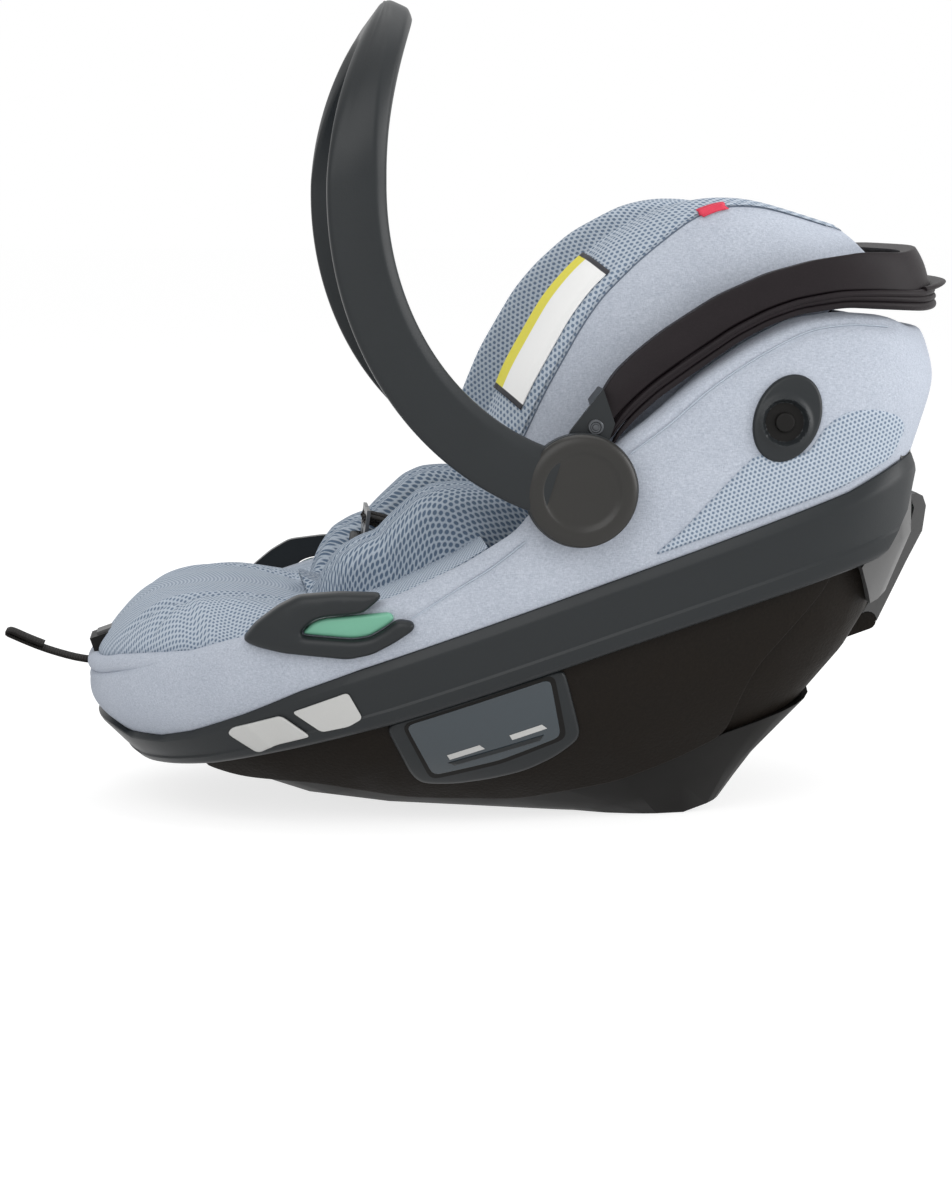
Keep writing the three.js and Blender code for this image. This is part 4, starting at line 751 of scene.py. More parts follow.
# %% Panels, tray and rear frame
PANEL = [(-345, -118), (-180, -121), (60, -122), (170, -124), (156, -140), (88, -181), (67, -205),
         (51, -229), (10, -235), (-40, -237), (-120, -226), (-200, -196), (-262, -160), (-318, -138)]
ADAPTER = [(-196, -126), (-54, -128), (-54, -140), (-57, -187), (-80, -196), (-106, -200), (-134, -198),
           (-162, -193), (-184, -185), (-190, -174)]
WINDOW = [(-181, -131), (-66, -132), (-72, -180), (-122, -183), (-174, -179)]
WINDOW_EDGE = [(-184, -129), (-62, -129.5), (-68, -183), (-122, -186.5), (-177, -182.5)]
LEDGE = [(-160, -172), (-84, -174), (-88, -177.5), (-156, -175.5)]
for side, name in SIDES:
    lay(f"side_panel_{name}_skin", PANEL, 14, textured, "side_panel_" + name,
        proud=2.6, rounding=1.2, base=-5.5, depth=2.5, step=12, side=side)
    lay(f"adapter_frame_{name}_skin", ADAPTER, 9, dark_plastic, "adapter_frame_" + name,
        proud=4.2, rounding=3.0, base=-3.4, depth=3, step=6, edge_step=3, side=side)
    lay("adapter_rebate_" + name, WINDOW_EDGE, 7, black_plastic,
        proud=0.25, rounding=0.0, base=0.8, depth=0.5, step=9, side=side)
    lay(f"adapter_pane_{name}_skin", WINDOW, 6, gloss, "adapter_pane_" + name,
        proud=0.5, rounding=0.3, base=0.85, depth=0.6, step=8, side=side)
    lay("adapter_ledge_" + name, LEDGE, 0, dark_plastic,
        proud=0.9, rounding=0.4, base=1.3, depth=0.5, step=5, side=side)
    for x in (-159, -109):
        mark = [(x, -165), (x + 26, -165), (x + 29, -169.5), (x + 1, -169.5)]
        lay(f"adapter_mark_{name}_{-x}", mark, 0, pale,
            proud=0.3, rounding=0.0, base=1.3, depth=0.2, step=6, side=side)
for node, look, bevel, angle in (("base_tray", black_plastic, 1.0, 50), ("seat_shell", textured, 0.8, 30),
                                 ("rear_frame", grey_plastic, 1.5, 30), ("seat_pan", cloth, 0.6, 30)):
    dressed(node, look, bevel, angle)
print("panels, tray and frame ready")

# %% [markdown]
# Belt guides are hooks that stand proud on the rim, open to the head end, with a green insert where the
# belt lies. Both keep the side-view outline of the photograph and a strongly rounded upper edge. The near
# rail alone has a pale cap with a ridge, and a bare label beside it.

# %% Belt guides, cap and label
GUIDE = [(-276, -27), (-262, -18), (-242, -11), (-224, -8), (-195, -15), (-166, -25.5), (-167, -29),
         (-183, -35.5), (-212, -29), (-221, -29), (-231, -33.5), (-232, -38), (-196, -53), (-184, -55),
         (-170, -52), (-160, -48), (-149, -54), (-151, -60), (-169, -65), (-187, -68), (-205, -66),
         (-250, -46), (-268, -35)]
INSERT = [(-230, -35), (-221, -30.5), (-212, -30.5), (-184, -37), (-163, -42), (-162, -48), (-170, -51),
          (-184, -54), (-196, -52), (-230, -37.5)]
CAP = [(-312, -95), (-307, -91), (-268, -92), (-252, -115), (-279, -114), (-295, -117)]
LABEL = [(-259, -92), (-214, -90), (-210, -113), (-222, -116), (-243, -114)]


def hook_crown(flat, away):
    """A hook's face rises by 1.6 mm between 5 and 13 mm from its edge."""
    return 1.6 * np.clip((away - 5) / 8, 0, 1)


def cap_ridge(flat, away):
    """A ridge 0.9 mm high along the slanted line x + z / 2 = const."""
    return 0.9 * np.exp(-((flat[:, 0] + 294 + 0.5 * (flat[:, 1] + 95)) / 2.0) ** 2)


for side, name in SIDES:
    lay(f"belt_guide_{name}_skin", GUIDE, 5, dark_plastic, "belt_guide_" + name,
        proud=12, rounding=5.5, base=0.2, depth=3, step=5, edge_step=2.5, bulge=hook_crown, side=side)
    lay(f"guide_insert_{name}_skin", INSERT, 4, green, "guide_insert_" + name,
        proud=5.5, rounding=3, base=0.2, depth=2, step=4, edge_step=2.5, side=side)
lay("rail_cap_skin", CAP, 4, pale, "rail_cap",
    proud=2.6, rounding=1.2, base=9.2, depth=1.6, step=3, edge_step=2, bulge=cap_ridge)
lay("bare_label", LABEL, 3.5, pale, proud=0.4, rounding=0.0, base=9.7, depth=1.4, step=5)
print("guides, cap and label ready")

# %% [markdown]
# The cover is one skin: up from the hem behind the rails, over the padded rim and down a little inside. It
# is a full ring round the body, each column as tall as the rim line allows at its place. Sewn seams are
# shallow valleys, as deep as a bell of the distance to a line drawn in side view, and the cloth beside a
# seam swells a little.

# %% Outer cover
ROLL_RADIUS = 7.0
SEAMS = [
    [(x, read(RIM, x) - 12.5) for x in (46, 80, 121, 163, 203, 232, 254, 266)],
    [(-50, -25), (-80, -35), (-110, -42), (-150, -52)],
]


def cover_grid(columns=560, rows=46):
    """Columns round the plan; rows go up the outside, over the rolled rim and down the inner side."""
    turn = np.linspace(-math.pi, math.pi, columns, endpoint=False)[:, None]
    roll = np.linspace(0, math.pi, 10)[1:]
    out = np.concatenate([np.zeros(rows), ROLL_RADIUS * (np.cos(roll) - 1), [-14, -14, -14, -6]])
    lift = np.concatenate([np.zeros(rows), ROLL_RADIUS * np.sin(roll), [-8, -16, -24, -30]])
    share = np.concatenate([np.linspace(0, 1, rows), np.ones(len(roll) + 4)])
    height = np.zeros((columns, len(out)))
    for _ in range(5):
        x = ring(turn + 0 * height, height, out + 0 * height)[..., 0]
        top = read(RIM, x[:, rows - 1:rows]) - ROLL_RADIUS
        hem = bent(x, RAIL_TOP) - 9
        height = np.where(share < 1, hem + (top - hem) * share, top + lift)
    return turn + 0 * height, height, out + 0 * height, share


def cover_shape():
    """The grid with its wall swollen outward, cut by the seams and fuller at the nose."""
    turn, height, out, share = cover_grid()
    rest = ring(turn, height, out)
    view = rest[..., [0, 2]].reshape(-1, 2)
    valley = np.zeros(len(view))
    for seam in SEAMS:
        away = distance_to(view, curve(seam, 60))
        valley += 1.5 * np.exp(-(away / 1.6) ** 2) - 0.7 * np.exp(-((away - 7) / 5) ** 2)
    puff = 2.2 * np.sin(np.pi * np.clip(share, 0, 1)) ** 0.8
    nose = np.clip((-330 - rest[..., 0]) / 60, 0, 1)
    out = out + (puff - valley.reshape(out.shape)) * (share < 1.01) + 2.0 * nose * np.sin(np.pi * share)
    return ring(turn, height, out)


cover = surface("outer_cover_skin", cover_shape(), "torus", sharp=60)
finish_piece(cover, cloth, "carrier", ["outer_cover"])
for k, seam in enumerate(SEAMS):
    x, z = curve(seam, 50).T
    stitch = np.stack([x, -side_at(x, z) - 0.6, z], -1)
    for side, _ in SIDES:
        thread = tube(f"cover_stitch_{k}_{side + 1}", stitch * [1, -side, 1], 0.55, 120, 6)
        finish_piece(thread, mesh_cloth)
print("cover", len(cover.data.polygons), "faces")

# %% [markdown]
# The oval socket in each wing is a flanged cup with a round bore and a stud on its floor. A black disc laid
# on that floor is painted shade, which darkens the deep bore. Below the socket a panel of spacer mesh lets
# the side breathe.

# %% Side sockets
BORE = (163, -5)
MESH_PANEL = [(36, -68), (63, -57), (98, -38), (126, -24), (138, -20), (150, -27), (172, -33), (192, -18),
              (211, -13), (235, -20), (252, -32), (256, -44), (237, -62), (190, -68), (100, -68)]


def oval(long, short, count, tilt=0, centre=BORE):
    """Ellipse in side view, its long axis turned up by the tilt in degrees."""
    a, b = round_section(long, short, count).T
    c, s = math.cos(math.radians(tilt)), math.sin(math.radians(tilt))
    return np.stack([centre[0] + a * c - b * s, centre[1] + a * s + b * c], -1)


def cup(flat, away):
    """Floor sunk within 15 mm of the bore's middle, and a raised lip round it at 18 mm."""
    from_middle = np.hypot(*(flat - BORE).T)
    sunk = -3.5 * (1 - np.clip((from_middle - 15) / 2.0, 0, 1))
    return sunk + 2.0 * np.exp(-((from_middle - 18) / 2.2) ** 2)


for side, name in SIDES:
    lay(f"side_socket_{name}_skin", oval(34, 25, 64, 47, (166, -3)), 0, dark_plastic, "side_socket_" + name,
        proud=4.6, rounding=2.5, base=1.5, depth=3, step=1.6, edge_step=3, bulge=cup, side=side)
    # Black disc in the bore: painted shade for the depth of the bore, not a part of its own.
    lay("socket_painted_shade_" + name, oval(14.6, 14.6, 40), 0, black_plastic,
        proud=0.3, rounding=0, base=2.65, depth=0.6, step=4, side=side)
    lay(f"socket_stud_{name}_skin", oval(7.5, 7.5, 32), 0, black_plastic, "socket_stud_" + name,
        proud=3.5, rounding=1.5, base=3, depth=1, step=2, edge_step=2, side=side)
    lay("side_mesh_" + name, MESH_PANEL, 8, cushion_mesh, slot="pad_mesh",
        proud=3.2, rounding=3, base=0.6, depth=3, step=9, edge_step=4, side=side)
print("sockets ready")

# %% [markdown]
# The handle is one section carried round an arch: up from the hub on each side, leaning in a little,
# curled forward, and across at the top. Its section is a rounded slab with a broad chamfer on the outer
# face, and it turns from a flat leg to a thicker grip.

# %% Handle
REACH, SPAN, ARCH = 377.0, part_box("handle_arch")[1].y * 1000 - 6.5, 95.0
ROOT, LEAN = 22.0, 0.035
ROOT_ANGLE, CURL = 60.7, 58.7


def handle_path(count=260):
    """Middle line of the handle and the direction its outer face looks to, from the left hub to the right.

    A leg runs out from the hub, a quarter circle turns it across, and the second half mirrors the first.
    The angle of the leg falls with its reach, so it curls forward."""
    leg, quarter = REACH - ARCH - ROOT, ARCH * math.pi / 2
    half = leg + quarter + SPAN - ARCH
    run = np.linspace(0, 2 * half, count)
    near = np.minimum(run, 2 * half - run)
    turn = np.clip((near - leg) / ARCH, 0, math.pi / 2)
    reach = np.where(near < leg, ROOT + near, REACH - ARCH + ARCH * np.sin(turn))
    across = np.where(near < leg, SPAN, SPAN - ARCH + ARCH * np.cos(turn))
    across = np.where(near > leg + quarter, SPAN - ARCH - (near - leg - quarter), across)
    across = across - LEAN * (reach - ROOT) * np.minimum(1, across / SPAN * 2)
    angle = np.radians(ROOT_ANGLE - CURL * reach / REACH)
    sign = np.where(run < half, -1, 1)
    path = np.stack([-reach * np.sin(angle), sign * across, reach * np.cos(angle)], -1)
    look = np.stack([-np.sin(angle) * np.sin(turn), sign * np.cos(turn), np.cos(angle) * np.sin(turn)], -1)
    return path, look, turn / (math.pi / 2), reach / REACH


path, look, arch_share, reach_share = handle_path()
HUB_HALF, LEG_HALF, GRIP_HALF = 25, 20.75, 14.5
LEG_THICK, GRIP_THICK = 6.5, 11
wide = (HUB_HALF + (LEG_HALF - HUB_HALF) * reach_share) * (1 - arch_share) + GRIP_HALF * arch_share
thick = LEG_THICK * (1 - arch_share) + GRIP_THICK * arch_share
leg_corners = np.array([(1, -0.86), (1.0, 0.66), (0.1, 1), (-1, 1), (-1, -1), (0.62, -1)])
top_corners = np.array([(0.95, -0.3), (1.0, 0.25), (0.0, 1), (-1, 1), (-1, -1), (0.1, -1)])
corners = leg_corners + (top_corners - leg_corners) * arch_share[:, None, None]
corners = corners * np.stack([thick, wide], -1)[:, None]
sections = rounded_rings(corners, radii=(5, 3, 2.5, 3.5, 3.5, 3), arcs=(6, 5, 5, 5, 5, 5),
                         edges=(10, 3, 3, 6, 3, 2), crowns=(0.6, 0.1, 0.1, 0.3, 0.1, 0))
handle = surface("handle_arch_skin", swept(path, look, sections), "tube", sharp=40)
finish_piece(handle, dark_plastic, "handle", ["handle_arch"])
DISC = [(41.7, 204.1), (42.6, 205), (42.8, 209), (42.6, 215.4), (41.7, 216.1)]
HUB = [(41.5, 216.4), (42.2, 217.2), (41.6, 219.4), (39.5, 221.2), (36, 222.2), (31, 222.3), (29, 221.7),
       (27.8, 220.7), (24, 220.5), (0.5, 220.9)]
for side, name in SIDES:
    finish_piece(lathe("handle_disc_" + name, DISC, side=side), dark_plastic, "handle")
    finish_piece(lathe(f"hub_cap_{name}_skin", HUB, side=side), hub_plastic, "handle", ["hub_cap_" + name])
    dressed("hub_base_" + name, black_plastic, 0.6)
    dressed("hub_pin_" + name, steel, 0.3)
press = np.stack([np.full(20, 1.5), np.linspace(-17, 17, 20), np.full(20, REACH - 5.0)], -1)
button = surface("release_button_skin", swept(press, (1.0, 0, 0), oblong(10, 13, 3)), "tube")
finish_piece(button, pale, "grip_button", ["release_button"])
print("handle", len(handle.data.polygons), "faces")

# %% [markdown]
# The folded canopy lies round the head end: one band of cloth on a bow, with the free folds of the hood
# gathered in rolls along its lower edge and a short visor standing off it. The band is a curved sheet with
# thickness, carried along the same oblong as the CAD bow.

# %% Canopy
BACK, SIDE, NOSE = 319.9, 188.0, -0.581 * LENGTH
BOW_CENTRE = NOSE + CENTRE_SHARE * (BACK - NOSE)
UPPER = np.array([[34, 60], [44, 69], [54, 76], [74, 84], [99, 92], [145, 102], [188, 105], [225, 102],
                  [262, 95], [297, 82], [330, 78]])
LOWER = np.array([[34, 20], [39, 25], [60, 36], [79, 44], [110, 53], [150, 64], [176, 68], [202, 68],
                  [237, 61], [270, 48], [300, 36], [330, 30]])


def canopy_path(count=241, first=0.015):
    """Half oblong |x|^5 + |y|^5 = 1 round the head end, from the left arm to the right, evenly spaced."""
    even = np.linspace(0, 1, 500)
    turn = math.pi / 2 * even ** 3 / (even ** 3 + (1 - even) ** 3)
    x, y = np.sin(turn) ** 0.4, np.cos(turn) ** 0.4
    near = np.stack([BOW_CENTRE + (BACK - BOW_CENTRE) * x, -SIDE * y], -1)[x > first]
    both = np.vstack([near, near[::-1][1:] * [1, -1]])
    path = at_run(both, np.linspace(0, length_run(both)[-1], count))
    way = np.gradient(path, axis=0)
    way /= np.linalg.norm(way, axis=1, keepdims=True)
    return path, np.stack([way[:, 1], -way[:, 0]], -1)


bow_path, bow_out = canopy_path()
low_line, high_line = (read(smoothed(table, 5), bow_path[:, 0])[:, None] for table in (LOWER, UPPER))


def along_bow(off, height, part=slice(None)):
    """Places at a distance off the bow and at a height, one row for each place of the path."""
    path, out = bow_path[part], bow_out[part]
    return np.stack([path[:, :1] + out[:, :1] * off, path[:, 1:] + out[:, 1:] * off, height], -1)


def canopy_band(name, profile, replaced=()):
    """Closed band along the bow; profile(t, s) gives the distance off it and the share of its height."""
    s = np.linspace(0, 1, 90, endpoint=False)[None]
    t = np.linspace(0, 1, len(bow_path))[:, None]
    off, up = profile(t, s)
    grid = along_bow(off, low_line + (high_line - low_line) * up)
    piece = surface(name, grid, "tube", uv=arc_uv(grid), sharp=60)
    return finish_piece(piece, canopy_cloth, "canopy", replaced)


def fabric_profile(t, s):
    """Outer face up with a full upper roll, two creases low down, then back down inside."""
    up_share = np.clip(s / 0.62, 0, 1)
    outer = 2.5 * np.sin(np.pi * up_share) ** 0.6 - 3.5 * np.exp(-((up_share - 0.13) / 0.035) ** 2)
    outer = outer - 2.5 * np.exp(-((up_share - 0.24 - 0.03 * np.sin(9 * t)) / 0.03) ** 2)
    outer = outer + 1.2 * np.sin(14 * t + 3 * up_share) * np.sin(np.pi * up_share)
    inner = np.clip((s - 0.68) / 0.32, 0, 1)
    off = np.where(s < 0.62, outer, np.where(s < 0.68, -12 * (s - 0.62) / 0.06, -12))
    up = np.where(s < 0.68, up_share, 1 - inner)
    edge = np.sin(np.pi * np.clip(t, 0, 1)) ** 0.08
    return off, 0.5 + (up - 0.5) * edge


canopy_band("canopy_fabric_skin", fabric_profile, ["canopy_fabric"])


def fold_profile(low, high, out, swing):
    """One free fold: a round roll between two height shares, wandering up and down along the bow."""
    def profile(t, s):
        turn = 2 * np.pi * s
        middle = (low + high) / 2 + swing * np.sin(2 * np.pi * t + 1)
        ends = np.sin(np.pi * np.clip(t, 0, 1)) ** 0.12
        return out + 3.2 * np.cos(turn) * ends, middle + (high - low) / 2 * np.sin(turn) * ends
    return profile


for k, fold in enumerate([(-0.06, 0.1, 0.0, 0.02), (0.07, 0.2, 1.4, 0.03), (0.17, 0.31, 2.4, -0.02)]):
    canopy_band(f"canopy_fold_{k}", fold_profile(*fold))
tip = slice(78, -78)
t = np.linspace(0, 1, len(bow_path[tip]))[:, None]
s = np.linspace(0, 2 * math.pi, 24, endpoint=False)[None]
reach = 1.5 + 20 * np.sin(np.pi * (0.02 + 0.96 * t)) ** 0.5 * (0.5 + 0.5 * np.cos(s))
level = (low_line + (high_line - low_line) * 0.3)[tip]
visor = surface("canopy_visor_skin", along_bow(reach, level - 0.1 * reach + 2.2 * np.sin(s), tip), "tube")
finish_piece(visor, canopy_cloth, "canopy", ["canopy_visor"])
dressed("canopy_bow", black_plastic, 0.5)
SNAP = [(5.8, 203.8), (5.8, 204.8), (5.2, 205.4), (4.2, 205.4), (3.6, 204.6), (2.6, 204.5), (2.2, 205.3),
        (0.2, 205.5)]
for side, name in SIDES:
    dressed("canopy_arm_" + name, dark_plastic, 0.8)
    snap = lathe("canopy_snap_" + name, SNAP, centre=(26, 40), side=side, count=40)
    finish_piece(snap, dark_steel, "canopy")
print("canopy ready")

# %% [markdown]
# The headrest slides along the back. Its wings are tall padded shells: melange cloth outside, spacer mesh
# on the broad front face and inside, and a sewn seam below the crest where the two meet. A wing is drawn in
# the slope's own frame, with places along the slope, across the seat and off the slope. Every section is a
# closed ring of five corners, each with its own rounding, so the crest and the seam are lines of the grid.

# %% Headrest wings
SLOPE = math.radians(29.7255)
CORNER = np.array([-30.1, 0.0, -124.99])


def from_slope(points):
    """Places along, across and off the slope, in the seat frame."""
    points = np.asarray(points, float)
    run, across, off = points[..., 0], points[..., 1], points[..., 2]
    return np.stack([CORNER[0] + run * math.cos(SLOPE) - off * math.sin(SLOPE), across,
                     CORNER[2] + run * math.sin(SLOPE) + off * math.cos(SLOPE)], -1)


# Columns: share of the wing's length, top, drop to the crest, drop on to the seam, lower edge, share of
# the width.
WING = np.array([[-0.05, 172, 28, 10, 100, 0.99], [0, 179, 28, 10, 92, 1], [0.157, 194, 29, 10, 64, 1],
                 [0.354, 204, 27, 10, 36, 1], [0.45, 204, 25, 9, 30, 1], [0.585, 199, 25, 7, 28, 1],
                 [0.738, 181, 15, 7, 28, 1], [0.82, 160, 6, 5, 28, 0.98], [0.9, 131, 3, 4, 28, 0.94],
                 [1, 66, 2, 3, 28, 0.82]])
WING_START, WING_LENGTH = 77.0, 294.0
WING_OUTER, WING_INNER = 157, 119
SEAM, MESH_END = 29, 93


def wing_grid(side, rows=150):
    """Rings along the wing, from the lower outer corner up over the seam and the crest and down inside.

    The inner top leans in by 12 mm, and from 0.7 of the length it eases back past the inner line."""
    share = np.linspace(0, 1, rows)
    fine = smoothed(WING * [WING_LENGTH, 1, 1, 1, 1, 1], 8)
    top, crest, seam, low, width = (read(fine, share * WING_LENGTH, k) for k in range(1, 6))
    outer, inner = WING_OUTER * width, WING_INNER * width
    crest = top - crest
    lean = 14 * np.maximum(share - 0.7, 0) / 0.3 - 12
    corners = np.stack([np.stack(pair, -1) for pair in (
        (outer, low), (outer - 1.5, crest - seam), (outer, crest), (inner + lean, top), (inner, low))], 1)
    rings = rounded_rings(corners, radii=(9, 2.5, 9, 15, 9), arcs=(6, 3, 8, 12, 6),
                          edges=(22, 4, 16, 22, 10), crowns=(6, 1.6, 3.5, 4, 1))
    middle = rings.mean(1, keepdims=True)
    ends = (np.sin(np.pi * (0.03 + 0.94 * share)) ** 0.22)[:, None]
    across = middle[..., 0] + (rings[..., 0] - middle[..., 0]) * ends
    off = middle[..., 1] + (rings[..., 1] - middle[..., 1]) * (0.8 + 0.2 * ends)
    run = WING_START + WING_LENGTH * share[:, None] + 0 * off
    return from_slope(np.stack([run, side * across, off], -1))


thread_cloth = material("seam_thread", plain_cloth("4f5966", "6b7686"), 0.8)


def wing(side, name):
    """Wing in cover cloth with mesh between the seam and the inner lower edge, and a thread on the seam."""
    grid = wing_grid(side)
    rows, columns = grid.shape[:2]
    piece = surface(f"headrest_wing_{name}_skin", grid, "tube", uv=arc_uv(grid), sharp=70)
    finish_piece(piece, cloth, "headrest", ["headrest_wing_" + name])
    piece.data.materials.append(mesh_cloth)
    column = np.arange(len(piece.data.polygons)) % columns
    column[(rows - 1) * columns:] = 0
    is_mesh = (column >= SEAM) & (column < MESH_END)
    piece.data.polygons.foreach_set("material_index", is_mesh.astype(np.int32))
    thread = tube("headrest_thread_" + name, grid[2:-2:6, SEAM] + [0, side * 0.1, 0], 0.6, 160, 6)
    finish_piece(thread, thread_cloth, "headrest")
    return grid


left_grid, _ = (wing(side, name) for side, name in SIDES)
print("headrest wings", left_grid.shape)

# %% [markdown]
# A plain cloth patch wraps over the mesh face of the near wing: white, with a yellow band on the inner edge
# and dark bars at both ends. A red ribbon is caught in the seam behind it.

# %% Patch and ribbon
def on_wing(grid, rows, columns, lift):
    """Part of the wing's surface moved off it by a lift in millimetres."""
    part = grid[rows][:, columns]
    normal = np.cross(np.gradient(part, axis=0), np.gradient(part, axis=1))
    normal /= np.linalg.norm(normal, axis=-1, keepdims=True)
    if ((part - grid.reshape(-1, 3).mean(0)) * normal).sum() < 0:
        normal = -normal
    return part + normal * lift


def patch_look(place, uv):
    """White, yellow over the first 0.42 of the width, dark at both ends."""
    u, v, _ = uv.split()
    bars = 1 - v.step(0.03, 0.036) * (1 - v.step(0.964, 0.97))
    return {"colour": bars.tone(u.step(0.42, 0.43).tone("e9e9e8", "d8cf4e"), "2e2e33")}


patch_cloth = material("patch_cloth", patch_look, 0.75)
ribbon_red = material("ribbon_red", plain_cloth("c82c46", "dc3a54"), 0.6)
rows, columns = np.arange(14, 77), np.arange(39, 75)
u, v = np.meshgrid(np.linspace(0, 1, len(columns)), np.linspace(0, 1, len(rows)))
patch = surface("headrest_patch", on_wing(left_grid, rows, columns, 1.0), uv=np.stack([u, v], -1))
ribbon = surface("headrest_ribbon", on_wing(left_grid, np.arange(115, 125), np.arange(28, 38), 1.3))
for piece, look, thickness in ((patch, patch_cloth, 0.0009), (ribbon, ribbon_red, 0.0012)):
    modify(piece, "SOLIDIFY", thickness=thickness, offset=-1)
    finish_piece(piece, look, "headrest")
print("patch and ribbon ready")

# %% [markdown]
# The pads are height fields with a crown: the seat cushion rolls over the nose, drops to the bend of the
# seat and rises at the sides, and the hip inlay has a fat bolster each side. Each is drawn as a closed
# lens: an upper face with the form, an under face just below it, joined round the edge. Quilted lines are
# valleys again, and the mesh's net comes from UV in millimetres.

# %% Seat cushion
CUSHION = shares([[-0.6, -0.02], [-0.57, -0.01], [-0.55, 0.0], [-0.533, 0.016], [-0.516, 0.028],
                  [-0.476, 0.042], [-0.429, 0.022], [-0.384, -0.014], [-0.331, -0.085], [-0.271, -0.205],
                  [-0.214, -0.31], [-0.171, -0.348], [-0.1, -0.352]])
CUSHION_FINE = smoothed(CUSHION, 9)
INSET, EDGE_HEIGHT = 13.0, -30.0


def blend_step(value):
    """0 below 0, 1 above 1, and 3v^2 - 2v^3 between."""
    value = np.clip(value, 0, 1)
    return value * value * (3 - 2 * value)


def pad_surface(name, top, under, material, replaced, body="carrier"):
    """Closed pad between two grids of the same size, joined round the edge and closed at both ends."""
    loop = np.roll(np.concatenate([top, under[:, ::-1]], 1), top.shape[1] // 2, 1)
    piece = surface(name, loop, "tube", uv=arc_uv(loop), sharp=70)
    return finish_piece(piece, material, body, replaced)


def cushion_grid(rows=190, columns=150):
    """Rows along the seat, closer together toward the nose, and columns across out to the plan outline.

    The outline is the body's own, moved inward. From its edge the pad rises by a quarter ellipse 30 mm
    wide, and beyond that the height goes from the middle line to the rim with |y|."""
    t = np.linspace(0, 1, rows)[:, None]
    s = np.linspace(-1, 1, columns)[None]
    front, _, centre = plan_ends(EDGE_HEIGHT, -INSET)
    x = front + 0.05 + (-78 - front) * t ** 2
    half = np.minimum(side_at(x, EDGE_HEIGHT + 0 * x, -INSET), 176)
    y = half * np.sin(s * math.pi / 2)
    reach = centre - front
    gauge = np.clip((centre - x) / reach, 0, 1) ** NOSE_POWER + (np.abs(y) / 180) ** NOSE_POWER
    away = np.minimum((1 - gauge ** (1 / NOSE_POWER)) * 195,
                      half - np.abs(y) + np.clip(x - front, 0, 30) * 0.5)
    crown = np.sqrt(1 - (1 - np.clip(away / 30, 0, 1)) ** 2)
    rim = read(RIM, x)
    edge = rim + 9 - 11 * np.clip((x + 375) / 60, 0, 1)
    middle = read(CUSHION_FINE, x)
    form = middle + (rim + 1 - middle) * blend_step((np.abs(y) / HALF - 0.56) / 0.26)
    form = np.maximum(form, edge + 3)
    channel = 7 * np.exp(-((np.abs(y) - 66 - 26 * np.sin((x + 400) / 70)) / 3.6) ** 2)
    channel = channel + 5 * np.exp(-((np.abs(y) - 128 + 0.35 * (x + 400)) / 3.2) ** 2)
    ridge = 2.2 * np.exp(-((np.abs(y) - 84) / 11) ** 2) + 1.8 * np.exp(-((np.abs(y) - 38) / 14) ** 2)
    top = edge + (form - edge) * crown + (ridge - channel) * blend_step((x - front - 10) / 40) * crown
    return np.stack([x + 0 * y, y, top + 0 * y], -1)


top = cushion_grid()
under = top * [1, 0.985, 1] - [0, 0, 14]
cushion = pad_surface("seat_cushion_skin", top, under, cushion_mesh, ["seat_cushion"])
print("cushion", len(cushion.data.polygons))

# %% [markdown]
# Below the edge of the mesh lies one roll of cover cloth, which follows the same outline round the nose.

# %% Cloth roll under the cushion
turn = np.linspace(-math.pi + 1.05, -math.pi - 1.05, 240)
line = ring(turn, np.full(240, EDGE_HEIGHT), np.full(240, -9.5))
line[:, 2] = read(RIM, line[:, 0]) + 4 - 12 * np.clip((line[:, 0] + 375) / 60, 0, 1)
roll_grid = swept(line, line * [1, 1, 0] - [-150, 0, 0], round_section(7.5, 7.0, 28))
roll = surface("cushion_roll", roll_grid, "tube", uv=arc_uv(roll_grid))
finish_piece(roll, cloth, "carrier")
print("roll", len(roll.data.polygons))

# %% [markdown]
# Back pad, head pad and head inlay follow the slope, and the hip inlay lies in the bend of the seat, with a
# fat bolster each side of a narrow gap.

# %% Pads on the back
def slope_pad(name, run, half, height, thickness, material, replaced, body="carrier", dent=None, corner=6):
    """Pad on the slope between two places; its plan is a rounded oblong and its top is crowned."""
    t = np.linspace(-1, 1, 70)[:, None]
    s = np.linspace(-1, 1, 60)[None]
    wide = np.maximum(1e-3, 1 - np.abs(t) ** corner) ** (1 / corner)
    long = (run[1] - run[0]) / 2
    sine = np.sin(s * math.pi / 2)
    across = half * wide * sine
    along = (run[0] + run[1]) / 2 + long * t + 0 * across
    edge = np.clip((1 - np.abs(sine)) * half / 16, 0, 1) * np.clip((1 - np.abs(t)) * long / 16, 0, 1)
    off = height + thickness * np.sqrt(np.maximum(0, 1 - (1 - edge) ** 2))
    if dent is not None:
        off = off + dent(along, across)
    top = from_slope(np.stack([along, across, off], -1))
    under = from_slope(np.stack([along, across * 0.99, 0 * off + height - 1.0], -1))
    return pad_surface(name, top, under, material, replaced, body)


slope_pad("back_pad_skin", (4, 318), 128, 10, 17, mesh_cloth, ["back_pad"],
          dent=lambda u, v: -4 * np.exp(-((np.abs(v) - 60) / 6) ** 2))
slope_pad("headrest_pad_skin", (258, 371), 108, 29, 23, mesh_cloth, ["headrest_pad"], "headrest")
slope_pad("head_inlay_skin", (273, 357), 92, 51, 20, mesh_cloth, ["head_inlay"], "headrest", corner=3.5,
          dent=lambda u, v: -9 * np.exp(-((u - 315) / 26) ** 2 - (v / 46) ** 2))
dressed("headrest_plate", dark_plastic, 0.5)

INLAY = smoothed(shares([[-0.33, -0.18], [-0.314, -0.12], [-0.287, -0.05], [-0.263, -0.01], [-0.235, 0.002],
                         [-0.217, 0.0], [-0.203, 0.02], [-0.161, 0.065], [-0.137, 0.07], [-0.113, 0.055],
                         [-0.06, 0.0], [0.0, -0.09], [0.04, -0.16]]), 3.5)


def bed_at(x):
    """Height of what the inlay lies on: the cushion's middle line, or the back pad where that is higher."""
    back = CORNER[2] + (x - CORNER[0]) * math.tan(SLOPE) + 24 / math.cos(SLOPE)
    return np.maximum(read(CUSHION_FINE, x), back)


